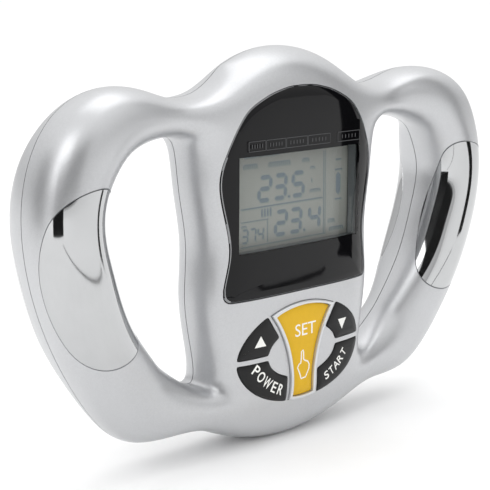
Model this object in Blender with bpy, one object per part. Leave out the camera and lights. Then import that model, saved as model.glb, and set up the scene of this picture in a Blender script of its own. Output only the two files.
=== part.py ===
"""Handheld body composition monitor with two loop handles.

Metres, +Z up. The front panel faces -Y and the origin is under the middle of the object.
Sizes below are in millimetres and every mesh is scaled by MM when it is made.
"""

import math

import bmesh
import bpy
from mathutils import Vector

MM = 0.001

# ---------------------------------------------------------------- driving dimensions, mm
GAP = 0.3  # clearance between neighbouring pieces
WALL = 2.4  # wall thickness of both shells
PARTING_Y = 1.0  # plane where the front and rear shells meet
BASE_FLAT_Z = 0.0  # flat on the underside that the object stands on
TOP_Z = 140.0
REACH = 120.0  # larger than the object, for cutters that run right through

# Body sections from the base to the crown: height at the side seam, height at the middle,
# half width, y of the front and y of the back.
BODY = (
    (11.5, -3.0, 41.0, -9.7, 11.5),
    (15.0, 14.0, 38.0, -14.0, 11.0),
    (19.0, 19.0, 33.0, -15.0, 11.0),
    (38.0, 38.0, 36.5, -15.0, 11.0),
    (54.0, 54.0, 39.5, -15.0, 11.0),
    (71.0, 71.0, 36.5, -15.0, 11.0),
    (90.0, 90.0, 41.0, -15.0, 11.0),
    (107.0, 107.0, 41.5, -15.0, 11.0),
    (113.0, 113.0, 39.0, -15.0, 11.0),
    (119.0, 129.0, 33.0, -14.7, 9.0),
    (129.0, 135.3, 22.5, -6.0, 5.0),
)
# A section's corners, as shares of its half width, from the middle of the front round the
# side to the middle of the back.
COLUMNS = (0.0, 0.55, 0.97, 1.03, 0.97, 0.55, 0.0)
EDGE_SOFTENING = 2.0  # how far the front and back fall away at the corners
LOWER_SOCKET = 0  # first of the three sections that the handle's lower end grows from
UPPER_SOCKET = 7  # the same for its upper end

# Handle sections from the upper socket round to the lower one: x, height, half width across
# the handle, half depth and y of the centre.
HANDLE = (
    (48.0, 113.5, 6.0, 13.0, 1.0),
    (64.5, 115.5, 10.5, 12.5, -2.0),
    (78.0, 111.5, 13.5, 13.5, -3.5),
    (86.0, 99.5, 13.5, 16.5, -0.8),
    (89.0, 85.0, 12.5, 17.5, -0.3),
    (85.5, 67.0, 13.5, 17.0, 0.0),
    (79.0, 49.0, 13.5, 16.5, 1.0),
    (67.0, 30.0, 14.5, 12.0, 0.0),
    (58.0, 20.5, 15.0, 12.0, 1.5),
)
HANDLE_STATIONS = 13
CAVITY_STATIONS = 9
HANDLE_CORNER = 0.8  # where the corners of a section sit between its middle and its edges

# Display window, in front view
WINDOW_THICKNESS = 1.3
WINDOW_SIDE = ((0.0, 122.0), (6.5, 121.65), (16.5, 118.9), (25.5, 113.5), (33.3, 100.0), (34.8, 91.0),
               (31.3, 71.0), (33.4, 57.5))
WINDOW_BOTTOM_Z = 53.0
WINDOW_CORNER_R = 2.5
LCD_VIEW = (28.0, 68.6, 100.2)  # half width, bottom and top of the viewing area

# Key cluster, in front view
CLUSTER_Z = 32.0
CLUSTER_OUTER = (28.6, 17.1)  # half axes of the ellipse round the keys
CLUSTER_INNER = (16.1, 8.9)  # half axes of the ellipse inside them
KEY_SPLIT_Z = 32.1
KEY_SPLIT = 1.0  # half of the space between an upper and a lower key
SET_SIDE_R = 40.4  # the hollow sides of the long middle key
SET_SIDE_CENTRE = (46.2, 21.0)
SET_TOP_R = 38.7
SET_TOP_Z = 49.2
SET_BOTTOM_R = 29.6
SET_BOTTOM_Z = 14.9
SET_MARGIN = 1.3  # from the middle key to the keys beside it
KEY_PROUD = 0.6
SET_PROUD = 1.0
SET_RIM = 1.1
KEY_FLANGE = 0.6
KEY_BACK_Y = -10.2

# Handle electrodes, seen from the side: place along the handle from its middle, and y
ELECTRODE_EDGE = ((33.0, -20.0), (22.0, -10.2), (4.0, -4.9), (-17.0, -7.2), (-30.0, -15.5))
ELECTRODE_MIDDLE = (82.5, 67.0)
ELECTRODE_AXIS = (0.184, 0.983)  # direction of the handle at the electrode, x and z
ELECTRODE_THICKNESS = 1.2
STUD_R = 1.6
STUD_PLACE = (87.0, 76.0)
STUD_END_Y = 8.0
STUD_HOLE_Y = (5.0, 30.0)  # from inside the handle to outside it
WEDGE_HALF_LENGTH = 26.0  # the electrode cutter: more than the handle's width
WEDGE_FRONT_Y = -30.0
WEDGE_GROWTH_LENGTH = 30.0  # half length of the electrode, which grow is measured against

# Board, display and keypad, front to back
LCD_Y = (-10.0, -8.0)
LCD_HALF = (29.0, 19.0)
HOLDER_BACK_Y = -7.0
WELL_WALL = 1.0  # wall of the light well between the window and the display
HOLDER_WALL = 1.0
BOARD_Y = (-6.6, -5.0)
BOARD_HALF_WIDTH = 29.0
BOARD_Z = (14.0, 104.0)
KEYPAD_Y = (-8.1, -6.9)
DOME_TOP_Y = -9.1
DOME_R = (3.0, 4.0)
KEYPAD_SHAPE = (28.5, 15.0, 50.5, 3.0)  # half width, bottom, top and corner radius
DOME_PLACES = ((-19.5, 37.5), (19.5, 37.5), (-19.5, 25.5), (19.5, 25.5), (0.0, 40.0))
LEAD_R = 0.5
CHIP_PLACE = (-13.0, 0.0, 30.0)
CHIP_PROFILE = ((7.5, 0.0), (7.0, 0.6), (4.5, 1.5))
BUZZER_PLACE = (14.0, 0.0, 30.0)
BUZZER_PROFILE = ((6.0, 0.0), (6.0, 1.8), (5.2, 2.2))

# Battery bay: two AAA cells side by side, upright
CELL_R = 5.25
CELL_LENGTH = 43.3
NUB_R = 1.9
NUB_LENGTH = 1.2
BAY_HALF_WIDTH = 11.2
BAY_Z = (50.5, 102.5)
BAY_FLOOR_Y = -3.0
BAY_WALL = 1.2
BAY_RIM = 4.3
COVER_MARGIN = 3.4
COVER_THICKNESS = 1.6
CELL_X = 5.55
CELL_Y = 2.6
CONTACT_THICKNESS = 0.4
CONTACT_HALF_WIDTH = 4.6
CONTACT_BACK_Y = 6.5
CONTACT_SLOT = (1.9, -1.9, -0.7)  # half width and y of the slots for the plates' tabs
CONTACT_TAB = (1.5, -1.6, -1.0)
LINK_HALF_WIDTH = 10.2
SPRING_R = 3.4
SPRING_HEIGHT = 4.3
SPRING_WIRE_R = 0.35
SPRING_TURNS = 3.5
SPRING_TAPER = 0.35  # how much narrower the last turn is
COVER_RIBS = (3, 5.0, 2.4, 1.0)  # number, half length, spacing and width
COVER_RIB_Y = (9.6, 11.6)
CELL_EDGE = 0.5

# Case screws: x and z, one on each side, and the counterbore that takes the head
SCREW_PLACES = ((35.0, 113.0), (45.0, 21.0), (84.0, 104.5))
SCREW_R = 1.2
SCREW_HOLE_R = 1.5
SCREW_HEAD_R = 2.5
SCREW_HEAD_HEIGHT = 1.8
SCREW_SEAT_Y = 5.0
SCREW_TIP_Y = -7.5
BOSS_R = 3.2
WELL_R = 4.2
WELL_LIMIT = 0.8  # a screw well ends this far under the skin
BOARD_SCREW_PLACE = (24.0, 57.0)
BOARD_BOSS_R = 2.2
BOARD_PILOT_R = 1.2
BOARD_PILOT_Y = (-11.4, 0.0)
BOARD_HOLE_R = 1.3
BOARD_SCREW_PROFILE = ((0.8, -10.8), (0.9, -10.4), (0.9, -4.7), (1.9, -4.7), (1.9, -4.0), (1.3, -3.6))

FINE = 24
COARSE = 16


# ---------------------------------------------------------------- small helpers
def material(name, colour, roughness, metallic=0.0):
    """A Principled material with one colour, roughness and metallic value."""
    made = bpy.data.materials.new(name)
    made.use_nodes = True
    shader = made.node_tree.nodes["Principled BSDF"]
    shader.inputs["Base Color"].default_value = (*colour, 1.0)
    shader.inputs["Roughness"].default_value = roughness
    shader.inputs["Metallic"].default_value = metallic
    made.diffuse_color = (*colour, 1.0)
    return made


def add_object(name, points, faces, finish=None):
    """A mesh object from points in millimetres, with its faces turned outwards."""
    mesh = bpy.data.meshes.new(name)
    mesh.from_pydata([Vector(p) * MM for p in points], [], faces)
    if finish is not None:
        mesh.materials.append(finish)
    made = bpy.data.objects.new(name, mesh)
    bpy.context.scene.collection.objects.link(made)
    return made


def hide_helper(helper):
    """Marks a cutter or guide, which is no piece of the object."""
    helper.hide_render = True
    helper.display_type = "WIRE"
    return helper


def turn_outwards(made):
    """Recalculates a closed mesh's normals."""
    work = bmesh.new()
    work.from_mesh(made.data)
    bmesh.ops.recalc_face_normals(work, faces=work.faces)
    work.to_mesh(made.data)
    work.free()
    return made


def prism(name, outline, y_from, y_to, finish=None):
    """A front-view outline of (x, z) points, extruded along Y."""
    count = len(outline)
    points = [(x, y_from, z) for x, z in outline] + [(x, y_to, z) for x, z in outline]
    sides = [(i, (i + 1) % count, count + (i + 1) % count, count + i) for i in range(count)]
    faces = [tuple(range(count)), tuple(reversed(range(count, 2 * count)))] + sides
    return turn_outwards(add_object(name, points, faces, finish))


def block(name, low, high, finish=None):
    """A box between two corners."""
    outline = ((low[0], low[2]), (high[0], low[2]), (high[0], high[2]), (low[0], high[2]))
    return prism(name, outline, low[1], high[1], finish)


def turned(name, profile, place, axis="Y", finish=None, segments=COARSE):
    """A solid of revolution. The profile is (radius, distance along the axis), from end to end."""
    points = []
    faces = []
    ring = [i for i, (radius, _) in enumerate(profile) if radius > 0]
    for radius, along in (profile[i] for i in ring):
        for k in range(segments):
            angle = 2 * math.pi * k / segments
            across = (radius * math.cos(angle), radius * math.sin(angle))
            offset = (across[0], along, across[1]) if axis == "Y" else (*across, along)
            points.append([p + o for p, o in zip(place, offset)])
    for row in range(len(ring) - 1):
        for k in range(segments):
            here = row * segments
            after = (k + 1) % segments
            faces.append((here + k, here + after, here + segments + after, here + segments + k))
    faces.append(tuple(range(segments)))
    faces.append(tuple(range((len(ring) - 1) * segments, len(ring) * segments)))
    return turn_outwards(add_object(name, points, faces, finish))


def boolean(target, operation, *tools):
    """Adds one Boolean modifier to target for each tool."""
    for tool in tools:
        cut = target.modifiers.new(f"{operation.lower()}_{tool.name}"[:60], "BOOLEAN")
        cut.operation = operation
        cut.solver = "EXACT"
        cut.object = hide_helper(tool)
    return target


def soften(target, width, segments=2):
    """Rounds the edges of a piece."""
    bevel = target.modifiers.new("soften", "BEVEL")
    bevel.width = width * MM
    bevel.segments = segments
    bevel.limit_method = "ANGLE"
    return target


def smooth(made):
    """Shades a piece smooth, with sharp edges kept."""
    made.data.shade_smooth()
    return made


def wire(name, points, radius, finish):
    """A round wire through points, as a curve with a bevel and closed ends."""
    curve = bpy.data.curves.new(name, "CURVE")
    curve.dimensions = "3D"
    curve.bevel_depth = radius * MM
    curve.bevel_resolution = 2
    curve.use_fill_caps = True
    spline = curve.splines.new("POLY")
    spline.points.add(len(points) - 1)
    for point, place in zip(spline.points, points):
        point.co = (*(Vector(place) * MM), 1.0)
    curve.materials.append(finish)
    made = bpy.data.objects.new(name, curve)
    bpy.context.scene.collection.objects.link(made)
    return made


# ---------------------------------------------------------------- curves and outlines
def spline_through(keys, count, dimensions=2):
    """Points on a smooth curve through keys, spaced evenly along the straight lines between them.

    Every value of a key is carried along, and the first two or three are its place.
    """
    stops = [0.0]
    for before, after in zip(keys, keys[1:]):
        stops.append(stops[-1] + math.dist(before[:dimensions], after[:dimensions]))
    last = len(keys) - 1
    slopes = []
    for i in range(len(keys)):
        low, high = max(i - 1, 0), min(i + 1, last)
        slopes.append([(b - a) / (stops[high] - stops[low]) for a, b in zip(keys[low], keys[high])])
    points = []
    for step in range(count):
        at = stops[-1] * step / (count - 1)
        i = max(k for k in range(last) if stops[k] <= at or k == 0)
        span = stops[i + 1] - stops[i]
        t = (at - stops[i]) / span
        weights = ((1 + 2 * t) * (1 - t) ** 2, t * (1 - t) ** 2 * span,
                   t * t * (3 - 2 * t), t * t * (t - 1) * span)
        parts = zip(keys[i], slopes[i], keys[i + 1], slopes[i + 1])
        points.append([sum(w * v for w, v in zip(weights, part)) for part in parts])
    return points


def arc(centre, radius, start, end, count):
    """Points on an arc from start to end, angles in degrees."""
    angles = (math.radians(start + (end - start) * i / (count - 1)) for i in range(count))
    return [(centre[0] + radius * math.cos(a), centre[1] + radius * math.sin(a)) for a in angles]


def mirrored(outline):
    """The same outline on the other side of the middle plane."""
    return [(-x, z) for x, z in outline]


def closed_by_mirror(half):
    """A whole outline from its right half, which starts and ends on the middle line."""
    return half + [(-x, z) for x, z in reversed(half) if abs(x) > 1e-6]


def rounded_rectangle(half_width, bottom, top, radius, count=4):
    """A rectangle about x = 0 with round corners."""
    right = half_width - radius
    half = [(0.0, bottom)] + arc((right, bottom + radius), radius, -90, 0, count)
    half += arc((right, top - radius), radius, 0, 90, count) + [(0.0, top)]
    return closed_by_mirror(half)


def window_outline(grow, count=FINE):
    """The display window: a round top, a waist and a straight bottom edge."""
    side = [(x + grow * min(1.0, x / 10.0), z + grow * (z - 90.0) / 40.0)
            for x, z in spline_through(WINDOW_SIDE, count)]
    side[0] = (0.0, WINDOW_SIDE[0][1] + grow)
    corner_x = side[-1][0] - WINDOW_CORNER_R
    corner = arc((corner_x, WINDOW_BOTTOM_Z - grow + WINDOW_CORNER_R), WINDOW_CORNER_R, 0, -90, 4)
    return closed_by_mirror(side + corner + [(0.0, WINDOW_BOTTOM_Z - grow)])


def set_side_x(z, grow):
    """Half width of the long middle key at a height, grown outwards."""
    return SET_SIDE_CENTRE[0] - math.sqrt((SET_SIDE_R - grow) ** 2 - (z - SET_SIDE_CENTRE[1]) ** 2)


def set_outline(grow, count=9):
    """The long middle key: an arc across the top, hollow sides and an arc across the bottom."""
    def top_z(x):
        return SET_TOP_Z - SET_TOP_R + math.sqrt((SET_TOP_R + grow) ** 2 - x * x)

    def bottom_z(x):
        return SET_BOTTOM_Z + SET_BOTTOM_R - math.sqrt((SET_BOTTOM_R + grow) ** 2 - x * x)

    low = bottom_z(set_side_x(SET_BOTTOM_Z, grow))
    high = top_z(set_side_x(SET_TOP_Z - 2.9, grow))
    low_x, high_x = set_side_x(low, grow), set_side_x(high, grow)
    half = [(low_x * i / 3, bottom_z(low_x * i / 3)) for i in range(3)]
    rises = [low + (high - low) * i / (count - 1) for i in range(count)]
    half += [(set_side_x(z, grow), z) for z in rises]
    half += [(high_x * (4 - i) / 5, top_z(high_x * (4 - i) / 5)) for i in range(5)]
    return closed_by_mirror(half)


def ellipse_point(axes, grow, angle):
    """A point on one of the two ellipses round the middle of the cluster."""
    return ((axes[0] + grow) * math.cos(angle), CLUSTER_Z + (axes[1] + grow) * math.sin(angle))


def crossing(axes, grow, inside, start, end):
    """The angle between start and end where the ellipse leaves the side that inside tells."""
    for _ in range(40):
        middle = (start + end) / 2
        if inside(ellipse_point(axes, grow, middle)):
            start = middle
        else:
            end = middle
    return start


def key_outline(upper, grow, count=8):
    """The right-hand upper or lower key: a sector of an elliptical ring beside the middle key."""
    turn = 1 if upper else -1
    edge_z = KEY_SPLIT_Z + turn * (KEY_SPLIT - grow)

    def clear_of_split(point):
        return turn * (point[1] - edge_z) < 0

    def clear_of_set(point):
        return point[0] > set_side_x(point[1], SET_MARGIN - grow)

    outline = []
    for axes, growth, backwards in ((CLUSTER_OUTER, grow, False), (CLUSTER_INNER, -grow, True)):
        first = crossing(axes, growth, clear_of_split, -turn * 0.3, turn * 0.9)
        last = crossing(axes, growth, clear_of_set, first, turn * 1.55)
        angles = [first + (last - first) * i / (count - 1) for i in range(count)]
        points = [ellipse_point(axes, growth, angle) for angle in angles]
        outline += reversed(points) if backwards else points
    return outline


# ---------------------------------------------------------------- the outer skin
def skin_points(station_count):
    """Corners of the right half of the skin's cage: the body's rows, then the handle's rings."""
    points = []
    for side_z, middle_z, half_width, front, back in BODY:
        across = (front, front, front + EDGE_SOFTENING, PARTING_Y, back - EDGE_SOFTENING, back, back)
        for share, y in zip(COLUMNS, across):
            bow = 1 - min(1.0, share) ** 2
            points.append((share * half_width, y, side_z + (middle_z - side_z) * bow))
    stations = spline_through(HANDLE, station_count)
    upper = (BODY[UPPER_SOCKET + 1][2], BODY[UPPER_SOCKET + 1][0])
    lower = (BODY[LOWER_SOCKET + 1][2], BODY[LOWER_SOCKET + 1][0])
    line = [upper] + [(s[0], s[1]) for s in stations] + [lower]
    for i, (x, z, half_width, half_depth, y) in enumerate(stations, 1):
        run = (line[i + 1][0] - line[i - 1][0], line[i + 1][1] - line[i - 1][1])
        length = math.hypot(*run)
        outward = (-run[1] / length * half_width, run[0] / length * half_width)
        for out, deep in ring_corners():
            points.append((x + out * outward[0], y + deep * half_depth, z + out * outward[1]))
    return points


def ring_corners():
    """The eight corners of a handle section, as shares of its half width and half depth."""
    k = HANDLE_CORNER
    return ((-k, -k), (-1, 0), (-k, k), (0, 1), (k, k), (1, 0), (k, -k), (0, -1))


def skin_faces(station_count):
    """Faces of the right half: the body's grid with two sockets left open, and the handle's tube."""
    rows, columns = len(BODY), len(COLUMNS)

    def at(row, column):
        return row * columns + column

    sockets = (LOWER_SOCKET, LOWER_SOCKET + 1, UPPER_SOCKET, UPPER_SOCKET + 1)
    faces = [
        (at(r, c), at(r, c + 1), at(r + 1, c + 1), at(r + 1, c))
        for r in range(rows - 1)
        for c in range(columns - 1)
        if not (c in (2, 3) and r in sockets)
    ]
    for row, flip in ((0, True), (rows - 1, False)):
        caps = ((0, 1, 5, 6), (1, 2, 4, 5), (2, 3, 4))
        for cap in caps:
            corners = [at(row, c) for c in cap]
            faces.append(tuple(reversed(corners)) if flip else tuple(corners))
    u, low = UPPER_SOCKET, LOWER_SOCKET
    rings = [[at(u, 2), at(u, 3), at(u, 4), at(u + 1, 4), at(u + 2, 4), at(u + 2, 3), at(u + 2, 2), at(u + 1, 2)]]
    for station in range(station_count):
        start = rows * columns + station * 8
        rings.append(list(range(start, start + 8)))
    rings.append([at(low + 2, 2), at(low + 2, 3), at(low + 2, 4), at(low + 1, 4), at(low, 4), at(low, 3),
                  at(low, 2), at(low + 1, 2)])
    for near, far in zip(rings, rings[1:]):
        faces += [(near[j], near[(j + 1) % 8], far[(j + 1) % 8], far[j]) for j in range(8)]
    return faces


def skin(name, inset=0.0, finish=None, station_count=HANDLE_STATIONS):
    """The whole outer skin, mirrored and subdivided, moved inwards by inset."""
    made = add_object(name, skin_points(station_count), skin_faces(station_count), finish)
    work = bmesh.new()
    work.from_mesh(made.data)
    bmesh.ops.delete(work, geom=[v for v in work.verts if not v.link_faces], context="VERTS")
    work.to_mesh(made.data)
    work.free()
    mirror = made.modifiers.new("mirror", "MIRROR")
    mirror.merge_threshold = 0.00001
    surface = made.modifiers.new("surface", "SUBSURF")
    surface.levels = 1
    surface.render_levels = 1
    if inset:
        offset = made.modifiers.new("offset", "DISPLACE")
        offset.strength = -inset * MM
        offset.mid_level = 0.0
    return smooth(made)


def skin_layer(name, outline, thickness, y_from, y_to, finish=None, proud=0.0):
    """The layer of the skin under a front-view outline, from proud of it to a depth under it."""
    made = prism(name, outline, y_from, y_to, finish)
    boolean(made, "INTERSECT", skin(f"{name}_outside", -proud))
    return boolean(made, "DIFFERENCE", skin(f"{name}_inside", thickness))


# ---------------------------------------------------------------- shells
def half_space(name, y_from, y_to):
    """A box round everything on one side of the parting plane, flat under the base."""
    return block(name, (-REACH, y_from, BASE_FLAT_Z), (REACH, y_to, TOP_Z))


def electrode_cutter(name, side, grow, facing):
    """A wedge with the electrode's curved edge seen from the side, across one handle."""
    slope = Vector((ELECTRODE_AXIS[0], 0.0, ELECTRODE_AXIS[1])).normalized()
    across = Vector((slope.z, 0.0, -slope.x))
    middle = Vector((ELECTRODE_MIDDLE[0], 0.0, ELECTRODE_MIDDLE[1]))
    edge = [(t * (1 + grow / WEDGE_GROWTH_LENGTH), y + grow) for t, y in spline_through(ELECTRODE_EDGE, 13)]
    edge += [(edge[-1][0], WEDGE_FRONT_Y), (edge[0][0], WEDGE_FRONT_Y)]
    points = []
    for reach in (-WEDGE_HALF_LENGTH, WEDGE_HALF_LENGTH):
        for t, y in edge:
            place = middle + slope * t + across * reach
            depth = y if facing < 0 else 2 * PARTING_Y - y
            points.append((side * place.x, depth, place.z))
    count = len(edge)
    sides = [(i, (i + 1) % count, count + (i + 1) % count, count + i) for i in range(count)]
    faces = [tuple(range(count)), tuple(reversed(range(count, 2 * count)))] + sides
    return turn_outwards(add_object(name, points, faces))


def electrode_pocket(name, side, facing):
    """The recess that an electrode plate lies in, and the hole for its stud."""
    pocket = electrode_cutter(name, side, GAP, facing)
    return boolean(pocket, "DIFFERENCE", skin(f"{name}_floor", ELECTRODE_THICKNESS + GAP))


def stud_hole(name, side, facing):
    """The hole in the wall that the stud of an electrode passes through."""
    y_from, y_to = sorted(facing * y for y in STUD_HOLE_Y)
    place = (side * STUD_PLACE[0], 0.0, STUD_PLACE[1])
    return turned(name, ((STUD_R + GAP, y_from), (STUD_R + GAP, y_to)), place)


def boss(name, radius, x, z, y_from, y_to, clear=1.0):
    """A round boss that ends inside the wall."""
    made = turned(name, ((radius, y_from), (radius, y_to)), (x, 0.0, z))
    return boolean(made, "INTERSECT", skin(f"{name}_limit", clear))


def screw_points():
    """Every case screw's x and z."""
    return [(side * x, z) for x, z in SCREW_PLACES for side in (-1, 1)]


def make_front_shell(finish):
    """Front half of the case, with openings for the window and the keys."""
    shell = skin("front_shell", 0.0, finish)
    boolean(shell, "INTERSECT", half_space("front_half", -REACH, PARTING_Y - GAP / 2))
    boolean(shell, "DIFFERENCE", skin("front_cavity", WALL, station_count=CAVITY_STATIONS))
    for i, (x, z) in enumerate(screw_points()):
        boolean(shell, "UNION", boss(f"front_boss_{i}", BOSS_R, x, z, -REACH, PARTING_Y - GAP / 2))
        bore = turned(f"pilot_hole_{i}", ((SCREW_HOLE_R, SCREW_TIP_Y - GAP), (SCREW_HOLE_R, REACH)), (x, 0, z))
        boolean(shell, "DIFFERENCE", bore)
    for side in (-1, 1):
        x, z = side * BOARD_SCREW_PLACE[0], BOARD_SCREW_PLACE[1]
        name = "left" if side < 0 else "right"
        boolean(shell, "UNION", boss(f"board_boss_{name}", BOARD_BOSS_R, x, z, -REACH, BOARD_Y[0] - GAP))
        pilot = [(BOARD_PILOT_R, y) for y in BOARD_PILOT_Y]
        hole = turned(f"board_pilot_{name}", pilot, (x, 0.0, z))
        boolean(shell, "DIFFERENCE", hole)
        boolean(shell, "DIFFERENCE", electrode_pocket(f"front_pocket_{name}", side, -1))
        boolean(shell, "DIFFERENCE", stud_hole(f"front_stud_hole_{name}", side, -1))
    pocket = prism("window_pocket", window_outline(GAP / 2), -REACH, 0.0)
    boolean(pocket, "DIFFERENCE", skin("window_floor", WINDOW_THICKNESS + GAP))
    view = prism("view_hole", rounded_rectangle(LCD_VIEW[0], LCD_VIEW[1], LCD_VIEW[2], 0.8), -REACH, 0.0)
    well = block("light_well", (-LCD_VIEW[0] - WELL_WALL, -REACH, LCD_VIEW[1] - WELL_WALL),
                 (LCD_VIEW[0] + WELL_WALL, LCD_Y[0] - GAP, LCD_VIEW[2] + WELL_WALL))
    boolean(shell, "UNION", boolean(well, "INTERSECT", skin("well_limit", WINDOW_THICKNESS + 2 * GAP)))
    boolean(shell, "DIFFERENCE", pocket, view)
    boolean(shell, "DIFFERENCE", prism("set_hole", set_outline(GAP), -REACH, 0.0))
    for name, outline in key_outlines(GAP):
        boolean(shell, "DIFFERENCE", prism(f"{name}_hole", outline, -REACH, 0.0))
    return shell


def cover_outline(grow):
    """The battery cover in rear view."""
    half_width = BAY_HALF_WIDTH + COVER_MARGIN + grow
    return rounded_rectangle(half_width, BAY_Z[0] - COVER_MARGIN - grow, BAY_Z[1] + COVER_MARGIN + grow, 3.0)


def make_rear_shell(finish):
    """Rear half of the case, with the battery bay, the screw wells and the electrode recesses."""
    shell = skin("rear_shell", 0.0, finish)
    boolean(shell, "INTERSECT", half_space("rear_half", PARTING_Y + GAP / 2, REACH))
    boolean(shell, "DIFFERENCE", skin("rear_cavity", WALL, station_count=CAVITY_STATIONS))
    rim = BAY_RIM
    bay = block("bay_walls", (-BAY_HALF_WIDTH - rim, BAY_FLOOR_Y - BAY_WALL, BAY_Z[0] - rim),
                (BAY_HALF_WIDTH + rim, REACH, BAY_Z[1] + rim))
    boolean(bay, "INTERSECT", skin("bay_limit", 0.9))
    boolean(shell, "UNION", bay)
    cavity = block("bay_cavity", (-BAY_HALF_WIDTH, BAY_FLOOR_Y, BAY_Z[0]), (BAY_HALF_WIDTH, REACH, BAY_Z[1]))
    seat = prism("cover_seat", cover_outline(0.0), 0.0, REACH)
    boolean(seat, "DIFFERENCE", skin("cover_seat_floor", COVER_THICKNESS + GAP))
    slot_half, *slot_y = CONTACT_SLOT
    slots = [
        block(f"contact_slot_{i}", (x - slot_half, slot_y[0], BAY_Z[0] - rim - 1.0),
              (x + slot_half, slot_y[1], BAY_Z[0] + 1.0))
        for i, x in enumerate((-CELL_X, CELL_X))
    ]
    boolean(shell, "DIFFERENCE", cavity, seat, *slots)
    for i, (x, z) in enumerate(screw_points()):
        boolean(shell, "UNION", boss(f"well_{i}", WELL_R, x, z, PARTING_Y + GAP / 2, REACH, WELL_LIMIT))
        profile = ((SCREW_HOLE_R, -REACH), (SCREW_HOLE_R, SCREW_SEAT_Y), (SCREW_HEAD_R + GAP, SCREW_SEAT_Y),
                   (SCREW_HEAD_R + GAP, REACH))
        boolean(shell, "DIFFERENCE", turned(f"well_bore_{i}", profile, (x, 0.0, z)))
    for side, name in ((-1, "left"), (1, "right")):
        boolean(shell, "DIFFERENCE", electrode_pocket(f"rear_pocket_{name}", side, 1))
        boolean(shell, "DIFFERENCE", stud_hole(f"rear_stud_hole_{name}", side, 1))
    return shell


def make_battery_cover(finish):
    """The cover over the battery bay, with three ribs to push it by."""
    outline = cover_outline(-GAP)
    cover = skin_layer("battery_cover", outline, COVER_THICKNESS, 0.0, REACH, finish)
    count, half_length, spacing, width = COVER_RIBS
    for i in range(count):
        z = BAY_Z[1] - 2.0 - spacing * i
        rib = block(f"cover_rib_{i}", (-half_length, COVER_RIB_Y[0], z), (half_length, COVER_RIB_Y[1], z + width))
        boolean(cover, "UNION", soften(rib, 0.3, 1))
    return cover


# ---------------------------------------------------------------- front panel pieces
def make_window(finish):
    """Clear window printed black behind, flush with the front shell."""
    outline = window_outline(-GAP / 2)
    return skin_layer("display_window", outline, WINDOW_THICKNESS, -REACH, 0.0, finish)


def key_outlines(grow):
    """Name and outline of each of the four keys round the middle one."""
    found = []
    for upper, right_name, left_name in ((True, "down_key", "up_key"), (False, "start_key", "power_key")):
        outline = key_outline(upper, grow)
        found += [(right_name, outline), (left_name, mirrored(outline))]
    return found


def make_key(name, outline, flange_outline, proud, finish):
    """A key: a cap that follows the skin, and a flange behind the wall that keeps it in."""
    key = prism(name, outline, -REACH, KEY_BACK_Y, finish)
    boolean(key, "INTERSECT", skin(f"{name}_top", -proud))
    flange = prism(f"{name}_flange", flange_outline, -REACH, KEY_BACK_Y)
    boolean(flange, "INTERSECT", skin(f"{name}_wall", WALL + GAP))
    return boolean(key, "UNION", flange)


def make_keys(black, silver, yellow):
    """Four black keys, and the middle key as a silver rim round a yellow cap."""
    flanges = dict(key_outlines(KEY_FLANGE))
    for name, outline in key_outlines(0.0):
        make_key(name, outline, flanges[name], KEY_PROUD, black)
    rim = make_key("set_key_rim", set_outline(0.0), set_outline(KEY_FLANGE), SET_PROUD, silver)
    boolean(rim, "DIFFERENCE", prism("rim_opening", set_outline(-SET_RIM), -REACH, 0.0))
    cap = prism("set_key_cap", set_outline(-SET_RIM - GAP), -REACH, KEY_BACK_Y, yellow)
    boolean(cap, "INTERSECT", skin("set_cap_top", -KEY_PROUD))


def make_electrode(name, side, facing, finish):
    """A curved contact plate that follows the handle, with a stud for its lead."""
    plate = electrode_cutter(name, side, 0.0, facing)
    plate.data.materials.append(finish)
    boolean(plate, "INTERSECT", skin(f"{name}_outside"))
    boolean(plate, "DIFFERENCE", skin(f"{name}_inside", ELECTRODE_THICKNESS))
    place = (side * STUD_PLACE[0], 0.0, STUD_PLACE[1])
    y_from, y_to = sorted((facing * STUD_END_Y, facing * REACH))
    stud = turned(f"{name}_stud", ((STUD_R, y_from), (STUD_R, y_to)), place, segments=12)
    boolean(stud, "INTERSECT", skin(f"{name}_stud_limit", 0.6))
    return smooth(boolean(plate, "UNION", stud))


def make_lead(name, side, facing, finish):
    """The insulated lead from the board round the top of a handle to an electrode's stud."""
    stud_x, stud_z = STUD_PLACE
    route = (
        (26.0, -3.5 + facing, 101.0),
        (31.0, -2.0 + facing, 105.0),
        (37.5, facing * 1.5, 107.5),
        (43.0, facing * 1.5, 111.5),
        (54.0, facing * 1.5, 114.0),
        (66.0, facing * 2.0, 114.0),
        (74.0, facing * 3.0, 108.5),
        (79.0, facing * 4.5, 98.0),
        (84.0, facing * 5.5, 85.0),
        (stud_x, facing * 6.2, stud_z + 1.0),
        (stud_x, facing * (STUD_END_Y - 2 * GAP), stud_z),
    )
    points = [(side * x, y, z) for x, y, z in spline_through(route, 17, 3)]
    return wire(name, points, LEAD_R, finish)


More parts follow.
